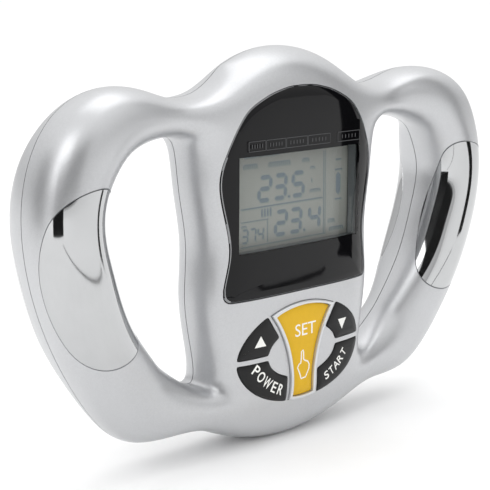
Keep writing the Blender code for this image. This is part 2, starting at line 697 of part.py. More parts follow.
# ---------------------------------------------------------------- display, board and keypad
def make_display(glass, holder_finish, rubber):
    """Liquid crystal panel, the holder that keeps it on the board, and its rubber connector."""
    half_width, half_height = LCD_HALF
    centre_z = (LCD_VIEW[1] + LCD_VIEW[2]) / 2
    low_z, high_z = centre_z - half_height, centre_z + half_height
    soften(block("lcd_panel", (-half_width, LCD_Y[0], low_z), (half_width, LCD_Y[1], high_z), glass), 0.3, 1)
    outer = half_width + GAP + HOLDER_WALL
    top, bottom = high_z + GAP + HOLDER_WALL, low_z - GAP - HOLDER_WALL
    holder = block("lcd_holder", (-outer, LCD_Y[0], bottom), (outer, HOLDER_BACK_Y, top), holder_finish)
    recess = block("lcd_recess", (-half_width - GAP, -REACH, low_z - GAP),
                   (half_width + GAP, LCD_Y[1] + GAP, high_z + GAP))
    back = block("lcd_back", (-half_width + 3.0, -REACH, low_z + 1.0), (half_width - 3.0, REACH, high_z - 3.0))
    boolean(holder, "DIFFERENCE", recess, back)
    block("lcd_connector", (-25.0, LCD_Y[1] + GAP, low_z + 1.0 + GAP),
          (25.0, BOARD_Y[0] - GAP, low_z + 3.5), rubber)


def make_board(board_finish, chip_finish, metal):
    """The circuit board with its moulded chip cover, buzzer and two fixing screws."""
    board = prism("main_board", rounded_rectangle(BOARD_HALF_WIDTH, BOARD_Z[0], BOARD_Z[1], 3.0),
                  BOARD_Y[0], BOARD_Y[1], board_finish)
    back = BOARD_Y[1] + GAP
    for name, profile, place, finish in (("chip_cover", CHIP_PROFILE, CHIP_PLACE, chip_finish),
                                         ("buzzer", BUZZER_PROFILE, BUZZER_PLACE, metal)):
        turned(name, [(r, back + y) for r, y in profile], place, finish=finish, segments=FINE)
    for side, name in ((-1, "left"), (1, "right")):
        x, z = side * BOARD_SCREW_PLACE[0], BOARD_SCREW_PLACE[1]
        hole = turned(f"board_hole_{name}", ((BOARD_HOLE_R, -REACH), (BOARD_HOLE_R, REACH)), (x, 0.0, z))
        boolean(board, "DIFFERENCE", hole)
        turned(f"board_screw_{name}", BOARD_SCREW_PROFILE, (x, 0.0, z), finish=metal, segments=12)


def make_keypad(rubber):
    """The silicone sheet behind the keys, with a dome for each one."""
    sheet = prism("keypad", rounded_rectangle(*KEYPAD_SHAPE), KEYPAD_Y[0], KEYPAD_Y[1], rubber)
    for i, (x, z) in enumerate(DOME_PLACES):
        profile = ((DOME_R[0], DOME_TOP_Y), (DOME_R[1], KEYPAD_Y[0] + 0.5))
        boolean(sheet, "UNION", turned(f"dome_{i}", profile, (x, 0.0, z), segments=12))
    return sheet


# ---------------------------------------------------------------- batteries and their contacts
def make_cells(finish):
    """Two AAA cells that stand in opposite ways."""
    low = BAY_Z[0] + 6.3
    edge = CELL_EDGE
    body = ((CELL_R - edge, 0.0), (CELL_R, edge), (CELL_R, CELL_LENGTH - edge), (CELL_R - edge, CELL_LENGTH),
            (NUB_R, CELL_LENGTH), (NUB_R, CELL_LENGTH + NUB_LENGTH))
    turned("battery_left", body, (-CELL_X, CELL_Y, low), "Z", finish, FINE)
    flipped = [(r, CELL_LENGTH + NUB_LENGTH - z) for r, z in body]
    turned("battery_right", flipped, (CELL_X, CELL_Y, BAY_Z[0] + 1.3), "Z", finish, FINE)


def coil(name, place, radius, height, finish):
    """A battery spring: three and a half open turns that widen towards their base."""
    steps = 28
    points = []
    for i in range(steps + 1):
        share = i / steps
        angle = 2 * math.pi * SPRING_TURNS * share
        r = radius * (1 - SPRING_TAPER * share)
        points.append((place[0] + r * math.cos(angle), place[1] + r * math.sin(angle), place[2] + height * share))
    return wire(name, points, SPRING_WIRE_R, finish)


def make_contacts(metal):
    """Spring and plate at the foot of the bay, and the strip and spring that link the cells above."""
    foot = BAY_Z[0] + GAP
    front_y = BAY_FLOOR_Y + 0.5
    tab_half, *tab_y = CONTACT_TAB
    for name, x in (("contact_plate_left", -CELL_X), ("contact_plate_right", CELL_X)):
        plate = block(name, (x - CONTACT_HALF_WIDTH, front_y, foot),
                      (x + CONTACT_HALF_WIDTH, CONTACT_BACK_Y, foot + CONTACT_THICKNESS), metal)
        tab = block(f"{name}_tab", (x - tab_half, tab_y[0], BAY_Z[0] - BAY_RIM - 0.6),
                    (x + tab_half, tab_y[1], foot + 0.2))
        boolean(plate, "UNION", tab)
    head = BAY_Z[1] - GAP
    block("contact_link", (-LINK_HALF_WIDTH, front_y, head - CONTACT_THICKNESS),
          (LINK_HALF_WIDTH, CONTACT_BACK_Y, head), metal)
    clear = CONTACT_THICKNESS + GAP + SPRING_WIRE_R
    coil("battery_spring_left", (-CELL_X, CELL_Y, foot + clear), SPRING_R, SPRING_HEIGHT, metal)
    upper = coil("battery_spring_right", (CELL_X, CELL_Y, 0.0), SPRING_R, SPRING_HEIGHT, metal)
    upper.rotation_euler = (math.pi, 0.0, 0.0)
    upper.location = (0.0, 2 * CELL_Y * MM, (head - clear) * MM)


def make_battery_leads(red, black):
    """The two short leads from the contacts to the board."""
    for name, x, finish in (("battery_lead_black", -CELL_X, black), ("battery_lead_red", CELL_X, red)):
        route = ((x, -1.3, BAY_Z[0] - BAY_RIM - 1.5), (x, -1.5, 42.5), (x, -2.6, 40.3), (x, -4.0, 40.0))
        wire(name, spline_through(route, 8, 3), LEAD_R, finish)


def make_case_screws(metal):
    """The self-tapping screws that hold the two shells together."""
    for i, (x, z) in enumerate(screw_points(), 1):
        seat = SCREW_SEAT_Y + GAP
        profile = ((SCREW_R - 0.4, SCREW_TIP_Y), (SCREW_R, SCREW_TIP_Y + 1.2), (SCREW_R, seat),
                   (SCREW_HEAD_R, seat), (SCREW_HEAD_R, seat + 1.0),
                   (SCREW_HEAD_R - 0.8, seat + SCREW_HEAD_HEIGHT))
        screw = turned(f"case_screw_{i}", profile, (x, 0.0, z), finish=metal)
        for name, (dx, dz) in (("a", (1.3, 0.25)), ("b", (0.25, 1.3))):
            slot = block(f"screw_{i}_cross_{name}", (x - dx, seat + 0.8, z - dz), (x + dx, REACH, z + dz))
            boolean(screw, "DIFFERENCE", slot)


def main():
    """Builds every piece of the object."""
    for old in list(bpy.data.objects):
        bpy.data.objects.remove(old)
    silver = material("silver_paint", (0.62, 0.63, 0.64), 0.35, 0.6)
    chrome = material("chrome_plate", (0.80, 0.80, 0.81), 0.08, 1.0)
    black = material("gloss_black_window", (0.01, 0.01, 0.012), 0.05)
    key_black = material("black_key", (0.02, 0.02, 0.02), 0.4)
    yellow = material("yellow_key", (0.78, 0.50, 0.05), 0.35)
    rubber = material("silicone", (0.35, 0.36, 0.38), 0.7)
    glass = material("lcd_glass", (0.40, 0.44, 0.40), 0.15)
    white = material("white_abs", (0.75, 0.75, 0.73), 0.5)
    green = material("circuit_board", (0.02, 0.18, 0.06), 0.45)
    epoxy = material("black_epoxy", (0.01, 0.01, 0.01), 0.3)
    nickel = material("nickel_plate", (0.60, 0.58, 0.52), 0.3, 1.0)
    steel = material("zinc_steel", (0.45, 0.45, 0.46), 0.35, 1.0)
    label = material("battery_sleeve", (0.10, 0.22, 0.45), 0.35)
    red = material("red_insulation", (0.55, 0.02, 0.02), 0.5)
    dark = material("black_insulation", (0.02, 0.02, 0.02), 0.5)

    make_front_shell(silver)
    make_rear_shell(silver)
    make_battery_cover(silver)
    make_window(black)
    make_keys(key_black, silver, yellow)
    for side, side_name in ((-1, "left"), (1, "right")):
        for facing, face_name, finish in ((-1, "front", red), (1, "rear", dark)):
            make_electrode(f"{face_name}_electrode_{side_name}", side, facing, chrome)
            make_lead(f"{face_name}_lead_{side_name}", side, facing, finish)
    make_display(glass, white, rubber)
    make_board(green, epoxy, steel)
    make_keypad(rubber)
    make_cells(label)
    make_contacts(nickel)
    make_battery_leads(red, dark)
    make_case_screws(steel)


main()
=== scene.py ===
"""Looks of a handheld body composition monitor with two loop handles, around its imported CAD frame.

Sizes are in millimetres, and MM turns them to metres where a mesh is made. The front panel faces -Y
and +Z is up. Every curve below is the one that the CAD part is built on.
"""
from __future__ import annotations

import logging
import math
from collections.abc import Callable, Iterable, Sequence
from dataclasses import dataclass
from enum import Enum

import bmesh
import bpy
from mathutils import Euler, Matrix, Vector


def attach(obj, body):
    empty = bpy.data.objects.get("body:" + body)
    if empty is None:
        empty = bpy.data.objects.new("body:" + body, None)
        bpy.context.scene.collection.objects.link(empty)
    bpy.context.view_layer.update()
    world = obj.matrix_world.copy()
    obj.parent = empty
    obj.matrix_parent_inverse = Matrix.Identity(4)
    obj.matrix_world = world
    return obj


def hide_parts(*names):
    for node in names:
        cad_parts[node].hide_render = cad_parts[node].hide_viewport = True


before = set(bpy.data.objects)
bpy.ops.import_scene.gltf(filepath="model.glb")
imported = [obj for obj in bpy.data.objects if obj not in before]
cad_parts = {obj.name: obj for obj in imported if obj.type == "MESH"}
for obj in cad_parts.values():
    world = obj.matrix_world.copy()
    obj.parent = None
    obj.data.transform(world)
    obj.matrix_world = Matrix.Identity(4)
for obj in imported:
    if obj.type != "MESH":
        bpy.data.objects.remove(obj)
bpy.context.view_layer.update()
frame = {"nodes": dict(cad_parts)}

MM = 0.001
REACH = 120.0  # further than any face of the object, for cutters that run right through
CAST_FROM = 60.0  # where a line that looks for the skin starts, in front or behind
GAP = 0.3  # clearance behind a plate, round a stud and in front of the cell

Object = bpy.types.Object
Material = bpy.types.Material
Tree = bpy.types.ShaderNodeTree
Node = bpy.types.Node
Socket = bpy.types.NodeSocket
Outline = list[tuple[float, float]]
log = logging.getLogger("monitor")


# ---------------------------------------------------------------- modelling by operators
def select_nothing() -> None:
    """Leaves edit mode and deselects everything, before a new primitive is added."""
    if bpy.context.mode != "OBJECT":
        bpy.ops.object.mode_set(mode="OBJECT")
    bpy.ops.object.select_all(action="DESELECT")


def only(*objects: Object) -> Object:
    """Selects these objects alone.

    Args:
        objects: What to select. The first one is made active.

    Returns:
        The active object.
    """
    select_nothing()
    for each in objects:
        each.select_set(True)
    bpy.context.view_layer.objects.active = objects[0]
    return objects[0]


def place_vertices(made: Object, before: Sequence[Vector], after: Sequence[Vector]) -> None:
    """Moves the selected vertices of a mesh in edit mode, each to its new place.

    Args:
        made: The mesh being edited.
        before: Where the selected vertices are now.
        after: Where each of them goes, in the same order.
    """
    mesh = bmesh.from_edit_mesh(made.data)
    for vertex in mesh.verts:
        if vertex.select:
            nearest = min(range(len(before)), key=lambda i: (before[i] - vertex.co).length_squared)
            vertex.co = after[nearest]
    bmesh.update_edit_mesh(made.data)


def ring(name: str, points: Sequence[Vector], filled: bool = True) -> Object:
    """Adds a circle with one vertex to a point, and moves the vertices to the points.

    Args:
        name: Name of the new object.
        points: Places of the vertices, in metres.
        filled: Whether one face closes it.

    Returns:
        The new object.
    """
    select_nothing()
    bpy.ops.mesh.primitive_circle_add(vertices=len(points), fill_type="NGON" if filled else "NOTHING")
    made = bpy.context.object
    made.name = name
    for vertex, point in zip(made.data.vertices, points):
        vertex.co = point
    return made


def loft(name: str, rings: Sequence[Sequence[Vector]], hollow: bool = False) -> Object:
    """Extrudes a ring of points through the rings that follow it.

    Args:
        name: Name of the new object.
        rings: Rings of as many points each, in metres.
        hollow: Whether the last ring joins the first, as on a frame, instead of both ends being closed.

    Returns:
        A closed solid with its faces outwards.
    """
    made = ring(name, rings[0], not hollow)
    bpy.ops.object.mode_set(mode="EDIT")
    bpy.ops.mesh.select_all(action="SELECT")
    stops = list(rings) + ([rings[0]] if hollow else [])
    for before, after in zip(stops, stops[1:]):
        if hollow:
            bpy.ops.mesh.extrude_edges_move()
        else:
            bpy.ops.mesh.extrude_region()
        place_vertices(made, before, after)
    bpy.ops.mesh.select_all(action="SELECT")
    if hollow:
        bpy.ops.mesh.remove_doubles(threshold=1e-7)
    bpy.ops.mesh.normals_make_consistent(inside=False)
    bpy.ops.object.mode_set(mode="OBJECT")
    return made


def front_ring(outline: Outline, y: float) -> list[Vector]:
    """The points of a front-view outline at one depth."""
    return [Vector((x, y, z)) * MM for x, z in outline]


def prism(name: str, outline: Outline, y_from: float, y_to: float) -> Object:
    """A front-view outline extruded along Y."""
    return loft(name, [front_ring(outline, y_from), front_ring(outline, y_to)])


def block(name: str, low: Sequence[float], high: Sequence[float], rounding: float = 0.0) -> Object:
    """A cube primitive shaped to a box, with its edges rounded.

    Args:
        name: Name of the new object.
        low: Lowest corner, in millimetres.
        high: Highest corner, in millimetres.
        rounding: Radius of its edges.

    Returns:
        The new object.
    """
    select_nothing()
    bpy.ops.mesh.primitive_cube_add(size=1.0)
    made = bpy.context.object
    made.name = name
    for vertex in made.data.vertices:
        vertex.co = Vector([(a + b) / 2 + c * (b - a) for a, b, c in zip(low, high, vertex.co)]) * MM
    if rounding:
        bpy.ops.object.mode_set(mode="EDIT")
        bpy.ops.mesh.select_all(action="SELECT")
        bpy.ops.mesh.bevel(offset=rounding * MM, segments=2)
        bpy.ops.object.mode_set(mode="OBJECT")
    return made


def turned(name: str, profile: Sequence[tuple[float, float]], place: Sequence[float], axis: str = "Y",
           segments: int = 32) -> Object:
    """A solid of revolution, as a circle extruded along its axis.

    Args:
        name: Name of the new object.
        profile: Radius and distance along the axis, from end to end.
        place: Where the axis starts.
        axis: The axis, Y or Z.
        segments: Vertices to a circle.

    Returns:
        The new object.
    """
    rings = []
    for radius, along in profile:
        points = []
        for k in range(segments):
            across, up = (radius * f(2 * math.pi * k / segments) for f in (math.cos, math.sin))
            offset = (across, along, up) if axis == "Y" else (across, up, along)
            points.append((Vector(place) + Vector(offset)) * MM)
        rings.append(points)
    return loft(name, rings)


def copied(source: Object, name: str) -> Object:
    """A copy of an object with its own mesh."""
    only(source)
    bpy.ops.object.duplicate()
    made = bpy.context.object
    made.name = name
    return made


def apply_modifier(made: Object, kind: str, settings: dict[str, object]) -> Object:
    """Adds one modifier with its settings and applies it."""
    modifier = only(made).modifiers.new("shape", kind)
    for setting, value in settings.items():
        setattr(modifier, setting, value)
    bpy.ops.object.modifier_apply(modifier="shape")
    return made


class Cut(Enum):
    """What a Boolean does to its target."""

    JOIN = "UNION"
    REMOVE = "DIFFERENCE"
    KEEP_SHARED = "INTERSECT"


def boolean(target: Object, how: Cut, *tools: Object) -> Object:
    """Cuts or joins a piece with each tool, and removes the tools.

    Args:
        target: The piece to change.
        how: What to do with it.
        tools: Closed meshes.

    Returns:
        The target.
    """
    for tool in tools:
        settings = {"operation": how.value, "solver": "MANIFOLD", "object": tool}
        apply_modifier(target, "BOOLEAN", settings)
        if not target.data.polygons:
            raise RuntimeError(f"{tool.name} leaves nothing of {target.name}")
        bpy.data.objects.remove(tool)
    return target


def joined(name: str, pieces: Sequence[Object]) -> Object:
    """One object from several."""
    made = only(*pieces)
    if len(pieces) > 1:
        bpy.ops.object.join()
    made.name = name
    return made


def face_outwards(made: Object, merge: float = 0.0) -> Object:
    """Merges vertices closer than merge, in metres, and turns every face outwards."""
    only(made)
    bpy.ops.object.mode_set(mode="EDIT")
    bpy.ops.mesh.select_all(action="SELECT")
    if merge:
        bpy.ops.mesh.remove_doubles(threshold=merge)
    bpy.ops.mesh.normals_make_consistent(inside=False)
    bpy.ops.object.mode_set(mode="OBJECT")
    return made


def layer(name: str, strokes: Sequence[Object], thickness: float) -> Object:
    """One thin printed layer from flat strokes, centred on y = 0."""
    made = face_outwards(joined(name, strokes))
    return apply_modifier(made, "SOLIDIFY", {"thickness": thickness * MM, "offset": 0.0})


def smooth(made: Object, degrees: float = 32.0) -> Object:
    """Shades a piece smooth, with edges sharper than an angle kept."""
    only(made)
    bpy.ops.object.shade_smooth_by_angle(angle=math.radians(degrees))
    return made


def reflect_like(made: Object, skin: Object) -> Object:
    """Gives a cut piece the skin's own normals, so that its reflections run as smoothly."""
    smooth(made)
    settings = {"object": skin, "use_loop_data": True, "data_types_loops": {"CUSTOM_NORMAL"},
                "loop_mapping": "POLYINTERP_NEAREST"}
    return apply_modifier(made, "DATA_TRANSFER", settings)


def dress(made: Object, *finishes: Material) -> Object:
    """Puts the finishes on a piece's material slots."""
    made.data.materials.clear()
    for finish in finishes:
        made.data.materials.append(finish)
    return made


def place_piece(made: Object, body: str, slot: str, *nodes: str) -> Object:
    """Hands a finished piece to the frame.

    Args:
        made: The piece.
        body: The CAD body that it moves with.
        slot: The record's material slot. Not used.
        nodes: CAD nodes that it stands for.

    Returns:
        The piece.
    """
    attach(made, body)
    if nodes:
        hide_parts(*nodes)
    return made


# ---------------------------------------------------------------- curves
def spline_through(keys: Sequence[Sequence[float]], count: int) -> list[list[float]]:
    """Points on a smooth curve through keys, spaced evenly along the straight lines between them.

    Args:
        keys: Rows of numbers whose first two are a place.
        count: How many points to return.

    Returns:
        Rows of as many numbers.
    """
    stops = [0.0]
    for before, after in zip(keys, keys[1:]):
        stops.append(stops[-1] + math.dist(before[:2], after[:2]))
    last = len(keys) - 1
    slopes = []
    for i in range(len(keys)):
        low, high = max(i - 1, 0), min(i + 1, last)
        slopes.append([(b - a) / (stops[high] - stops[low]) for a, b in zip(keys[low], keys[high])])
    points = []
    for step in range(count):
        at = stops[-1] * step / (count - 1)
        i = max(k for k in range(last) if stops[k] <= at or k == 0)
        span = stops[i + 1] - stops[i]
        t = (at - stops[i]) / span
        weights = ((1 + 2 * t) * (1 - t) ** 2, t * (1 - t) ** 2 * span,
                   t * t * (3 - 2 * t), t * t * (t - 1) * span)
        parts = zip(keys[i], slopes[i], keys[i + 1], slopes[i + 1])
        points.append([sum(w * v for w, v in zip(weights, part)) for part in parts])
    return points


def arc(centre: Sequence[float], radius: float, start: float, end: float, count: int) -> Outline:
    """Points on an arc from start to end, angles in degrees."""
    angles = (math.radians(start + (end - start) * i / (count - 1)) for i in range(count))
    return [(centre[0] + radius * math.cos(a), centre[1] + radius * math.sin(a)) for a in angles]


def mirrored(outline: Outline) -> Outline:
    """The same outline on the other side of the middle."""
    return [(-x, z) for x, z in outline]


def closed_by_mirror(half: Outline) -> Outline:
    """A whole outline from its right half, which starts and ends on the middle line."""
    return half + [(-x, z) for x, z in reversed(half) if abs(x) > 1e-6]


def rounded_rectangle(half_width: float, bottom: float, top: float, radius: float, count: int = 6) -> Outline:
    """A rectangle about the middle line with round corners."""
    right = half_width - radius
    half = [(0.0, bottom)] + arc((right, bottom + radius), radius, -90, 0, count)
    half += arc((right, top - radius), radius, 0, 90, count) + [(0.0, top)]
    return closed_by_mirror(half)


def with_round_corners(outline: Outline, radius: float) -> Outline:
    """Rounds each sharp corner of a closed outline.

    Args:
        outline: The points in order.
        radius: How far from a corner its rounding starts.

    Returns:
        The outline, with four points in place of each sharp corner.
    """
    found = []
    for i, here in enumerate(outline):
        corner = Vector(here)
        back = Vector(outline[i - 1]) - corner
        ahead = Vector(outline[(i + 1) % len(outline)]) - corner
        if math.degrees(back.angle(ahead)) > 145.0:
            found.append(here)
            continue
        start = corner + back.normalized() * radius
        end = corner + ahead.normalized() * radius
        for t in (0.0, 0.33, 0.67, 1.0):
            found.append(tuple((1 - t) ** 2 * start + 2 * t * (1 - t) * corner + t * t * end))
    return found


def rim_steps(radius: float, angles: Sequence[float] = (0, 30, 60, 90)) -> list[tuple[float, float]]:
    """Steps over a rounded rim, as how far in a ring lies and how far below the top."""
    return [(radius * (1 - math.cos(a)), radius * (1 - math.sin(a))) for a in map(math.radians, angles)]


def dome_steps(radius: float, depth: float, rise: float) -> list[tuple[float, float]]:
    """Steps from a wall over a rounded rim and up a low crown.

    Args:
        radius: Radius of the rim.
        depth: How far in the crown's last ring lies.
        rise: How much higher the crown is than the rim.

    Returns:
        Pairs of how far in a ring lies and how far it lies below the top.
    """
    rim = [(inward, rise + below) for inward, below in rim_steps(radius, (0, 22, 45, 68, 90))]
    shares = (0.2, 0.4, 0.65, 1.0)
    return rim + [(radius + (depth - radius) * s, rise * (1 - s) ** 2) for s in shares]


# ---------------------------------------------------------------- finishes
def linear(code: str) -> tuple[float, float, float, float]:
    """Turns an sRGB hex colour to linear light.

    Args:
        code: Six hex digits.

    Returns:
        Red, green, blue and 1.
    """
    parts = [int(code[i:i + 2], 16) / 255 for i in (0, 2, 4)]
    light = [p / 12.92 if p <= 0.04045 else ((p + 0.055) / 1.055) ** 2.4 for p in parts]
    return (*light, 1.0)


def add_node(tree: Tree, kind: str, settings: dict[str | int, object] | None = None,
             links: dict[str | int, Socket] | None = None) -> Node:
    """Adds one shader node.

    Args:
        tree: The material's node tree.
        kind: The node's type, without its ShaderNode prefix.
        settings: Values by input name or number, or by the node's own property.
        links: Output sockets by input name or number.

    Returns:
        The node.
    """
    node = tree.nodes.new("ShaderNode" + kind)
    for key, value in (settings or {}).items():
        if isinstance(key, int) or key in node.inputs:
            node.inputs[key].default_value = value
        else:
            setattr(node, key, value)
    for key, source in (links or {}).items():
        tree.links.new(source, node.inputs[key])
    return node


@dataclass(frozen=True)
class Finish:
    """A surface of one substance: two close colours mixed by its grain, its gloss and its relief."""

    name: str
    colour: str
    shade: str
    roughness: float
    metallic: float = 0.0
    ior: float = 1.5
    coat: float = 0.0
    coat_roughness: float = 0.1
    grain: float = 0.6
    relief: float = 0.004
    gloss_change: float = 0.05

    def pattern(self, tree: Tree, place: Socket) -> Socket:
        """How much of the second colour shows, from 0 to 1."""
        speck = add_node(tree, "TexNoise", {"Scale": 1 / (self.grain * MM), "Detail": 3.0}, {"Vector": place})
        return speck.outputs["Fac"]

    def make(self) -> Material:
        """Builds the material.

        Returns:
            The material, on Object coordinates.
        """
        made = bpy.data.materials.new(self.name)
        made.use_nodes = True
        tree = made.node_tree
        shader = tree.nodes["Principled BSDF"]
        values = {"Metallic": self.metallic, "IOR": self.ior, "Coat Weight": self.coat,
                  "Coat Roughness": self.coat_roughness}
        for socket, value in values.items():
            shader.inputs[socket].default_value = value
        place = add_node(tree, "TexCoord").outputs["Object"]
        amount = self.pattern(tree, place)
        colours = {6: linear(self.colour), 7: linear(self.shade), "data_type": "RGBA"}
        colour = add_node(tree, "Mix", colours, {0: amount})
        tree.links.new(colour.outputs[2], shader.inputs["Base Color"])
        speck = add_node(tree, "TexNoise", {"Scale": 1 / (self.grain * MM), "Detail": 2.0}, {"Vector": place})
        spread = {"To Min": self.roughness - self.gloss_change, "To Max": self.roughness + self.gloss_change}
        gloss = add_node(tree, "MapRange", spread, {"Value": speck.outputs["Fac"]})
        tree.links.new(gloss.outputs["Result"], shader.inputs["Roughness"])
        bump = add_node(tree, "Bump", {"Distance": self.relief * MM, "Strength": 0.6},
                        {"Height": speck.outputs["Fac"]})
        tree.links.new(bump.outputs["Normal"], shader.inputs["Normal"])
        return made


@dataclass(frozen=True)
class FlakedPaint(Finish):
    """Sprayed metallic paint: each aluminium flake lies at its own angle, and the coat is a little uneven."""

    flake: float = 0.45
    cloud: float = 22.0

    def pattern(self, tree: Tree, place: Socket) -> Socket:
        """Flakes of random brightness over slow clouds."""
        flakes = add_node(tree, "TexVoronoi", {"Scale": 1 / (self.flake * MM)}, {"Vector": place})
        clouds = add_node(tree, "TexNoise", {"Scale": 1 / (self.cloud * MM), "Detail": 2.0},
                          {"Vector": place})
        grey = add_node(tree, "SeparateColor", None, {0: flakes.outputs["Color"]})
        return add_node(tree, "Math", {"operation": "MULTIPLY"},
                        {0: grey.outputs[0], 1: clouds.outputs["Fac"]}).outputs[0]


@dataclass(frozen=True)
class BandedSleeve(Finish):
    """A printed shrink sleeve: one colour with a band of another at a height."""

    edge: float = 86.0

    def pattern(self, tree: Tree, place: Socket) -> Socket:
        """Nothing under the edge of the band, and all of it above."""
        parts = add_node(tree, "SeparateXYZ", None, {0: place})
        return add_node(tree, "Math", {"operation": "GREATER_THAN", 1: self.edge * MM},
                        {0: parts.outputs["Z"]}).outputs[0]


@dataclass(frozen=True)
class TracedBoard(Finish):
    """Solder mask over copper: the tracks show as paler lines under the green."""

    pitch: float = 2.6

    def pattern(self, tree: Tree, place: Socket) -> Socket:
        """Bent parallel tracks at the board's track spacing."""
        bends = {"Scale": 1 / (self.pitch * 6 * MM), "Distortion": 2.0, "bands_direction": "X"}
        waves = add_node(tree, "TexWave", bends, {"Vector": place})
        tracks = add_node(tree, "Math", {"operation": "GREATER_THAN", 1: 0.72}, {0: waves.outputs["Fac"]})
        return tracks.outputs[0]


@dataclass(frozen=True)
class ClearWindow:
    """Clear acrylic: it mirrors as a gloss does, and lets the rest through."""

    name: str = "clear_acrylic"
    ior: float = 1.33

    def make(self) -> Material:
        """Builds the material.

        Returns:
            A mix of clear and mirror by Schlick's law, which holds on both faces of the plate.
        """
        made = bpy.data.materials.new(self.name)
        made.use_nodes = True
        tree = made.node_tree
        tree.nodes.remove(tree.nodes["Principled BSDF"])
        clear = add_node(tree, "BsdfTransparent", {"Color": linear("F4F6F5")})
        mirror = add_node(tree, "BsdfGlossy", {"Roughness": 0.03, "Color": linear("FFFFFF")})
        slant = add_node(tree, "LayerWeight", {"Blend": 0.5}).outputs["Facing"]
        rise = add_node(tree, "Math", {"operation": "POWER", 1: 5.0}, {0: slant}).outputs[0]
        head_on = ((self.ior - 1) / (self.ior + 1)) ** 2
        share = add_node(tree, "Math", {"operation": "MULTIPLY_ADD", 1: 1 - head_on, 2: head_on}, {0: rise})
        mix = add_node(tree, "MixShader", None,
                       {0: share.outputs[0], 1: clear.outputs[0], 2: mirror.outputs[0]})
        tree.links.new(mix.outputs[0], tree.nodes["Material Output"].inputs["Surface"])
        return made


class Palette:
    """Every finish of the monitor, made once."""

    def __init__(self) -> None:
        """Makes the materials."""
        # Sprayed silver on ABS: soft wide highlights and a fine sparkle.
        self.silver = FlakedPaint("silver_paint_on_abs", "C3C4C6", "BBBCBE", 0.36, metallic=0.8, coat=0.25,
                                  coat_roughness=0.22, relief=0.0008, gloss_change=0.02).make()
        # The same grey ABS inside, as it left the mould: dull, with a spark-eroded grain.
        self.bare = Finish("grey_moulded_abs", "8C8E91", "7E8083", 0.55, grain=0.5, relief=0.01).make()
        # Chromium over nickel on a stamped plate: mirror-bright, with faint wipe marks.
        self.chrome = Finish("chrome_plated_steel", "C0C1C2", "BABBBC", 0.07, metallic=1.0, grain=6.0,
                             relief=0.002, gloss_change=0.02).make()
        # Acrylic printed black on its back: deep gloss with slight moulding waves.
        self.black_gloss = Finish("black_printed_acrylic", "08080A", "0B0B0D", 0.05, ior=1.33, grain=14.0,
                                  relief=0.01, gloss_change=0.015).make()
        self.clear = ClearWindow().make()
        # The plate's polished rim, in a lighter grey on its slanted faces: partly where no black lies behind
        # it and the silver shows through, partly a painted highlight along the bevel.
        self.edge = Finish("polished_acrylic_rim_and_painted_highlight", "8A8B8D", "828385", 0.12, grain=3.0, relief=0.001,
                           gloss_change=0.02).make()
        # Grey ABS of the well behind the window: fine matt grain.
        self.well = Finish("dark_grey_abs", "606265", "585A5D", 0.45, grain=0.5, relief=0.006).make()
        # Black ABS keys with a satin grain that grips the thumb.
        self.key = Finish("black_satin_abs", "101011", "161617", 0.36, ior=1.36, grain=0.5,
                          relief=0.008).make()
        # Yellow ABS, moulded glossy; a tone a little deeper, as where the wall is thick, comes in at random
        # with the grain.
        self.yellow = Finish("yellow_moulded_abs", "DBAE10", "D4A70C", 0.36, ior=1.38, grain=1.2,
                             relief=0.004).make()
        # Silver hot-stamped frame round the middle key.
        self.rim = Finish("silver_key_frame", "D8D9DA", "D0D1D2", 0.3, metallic=0.7, grain=2.0,
                          relief=0.001, gloss_change=0.02).make()
        # Pad-printed white ink: flat and slightly rough.
        self.ink = Finish("white_pad_print", "F2F2EE", "E6E6E2", 0.5, grain=0.5, relief=0.003).make()
        # Faint grey ink of the caption boxes on the window.
        self.faint = Finish("grey_window_print", "3E3F41", "38393B", 0.4, grain=0.5, relief=0.002).make()
        # Reflective liquid crystal cell: neutral grey, with the rear polariser's fine mottle.
        self.cell = Finish("liquid_crystal_cell", "9E9C99", "989693", 0.3, coat=0.3, grain=0.5,
                           relief=0.001).make()
        # A driven segment: bluish grey. Then a painted shadow: a grey for a faint copy of the segments, set a
        # little down and to the right of them on the cell, where they would throw their shadow on the
        # reflector.
        self.segment = Finish("driven_segment", "727C88", "6C7682", 0.4, grain=0.5, relief=0.001).make()
        self.ghost = Finish("segment_shadow", "8F9391", "8A8E8A", 0.4, grain=0.5, relief=0.001).make()
        self.holder = Finish("white_holder_abs", "DADAD5", "CFCFCA", 0.45, grain=0.5, relief=0.006).make()
        self.board = TracedBoard("green_solder_mask", "0E4A28", "2A7A44", 0.32, ior=1.5, coat=0.4,
                                 relief=0.006).make()
        self.epoxy = Finish("black_glob_epoxy", "0E0E0F", "161617", 0.25, grain=1.5, relief=0.02).make()
        self.silicone = Finish("grey_silicone_rubber", "8A8C90", "808286", 0.62, grain=0.5,
                               relief=0.01).make()
        self.nickel = Finish("nickel_plated_spring_steel", "C9C4B8", "B4AFA4", 0.22, metallic=1.0, grain=1.5,
                             relief=0.004).make()
        self.zinc = Finish("zinc_plated_steel", "B9BBC0", "A2A5AC", 0.32, metallic=1.0, grain=1.0,
                           relief=0.006).make()
        self.red = Finish("red_pvc_insulation", "A81C1C", "961616", 0.42, grain=0.8, relief=0.006).make()
        self.black = Finish("black_pvc_insulation", "1A1A1B", "222223", 0.42, grain=0.8, relief=0.006).make()
        # Shrink sleeve of an alkaline cell: dark blue with a copper band at one end.
        self.sleeve = BandedSleeve("printed_cell_sleeve", "1D2A52", "B0713A", 0.3, coat=0.5,
                                   relief=0.004).make()


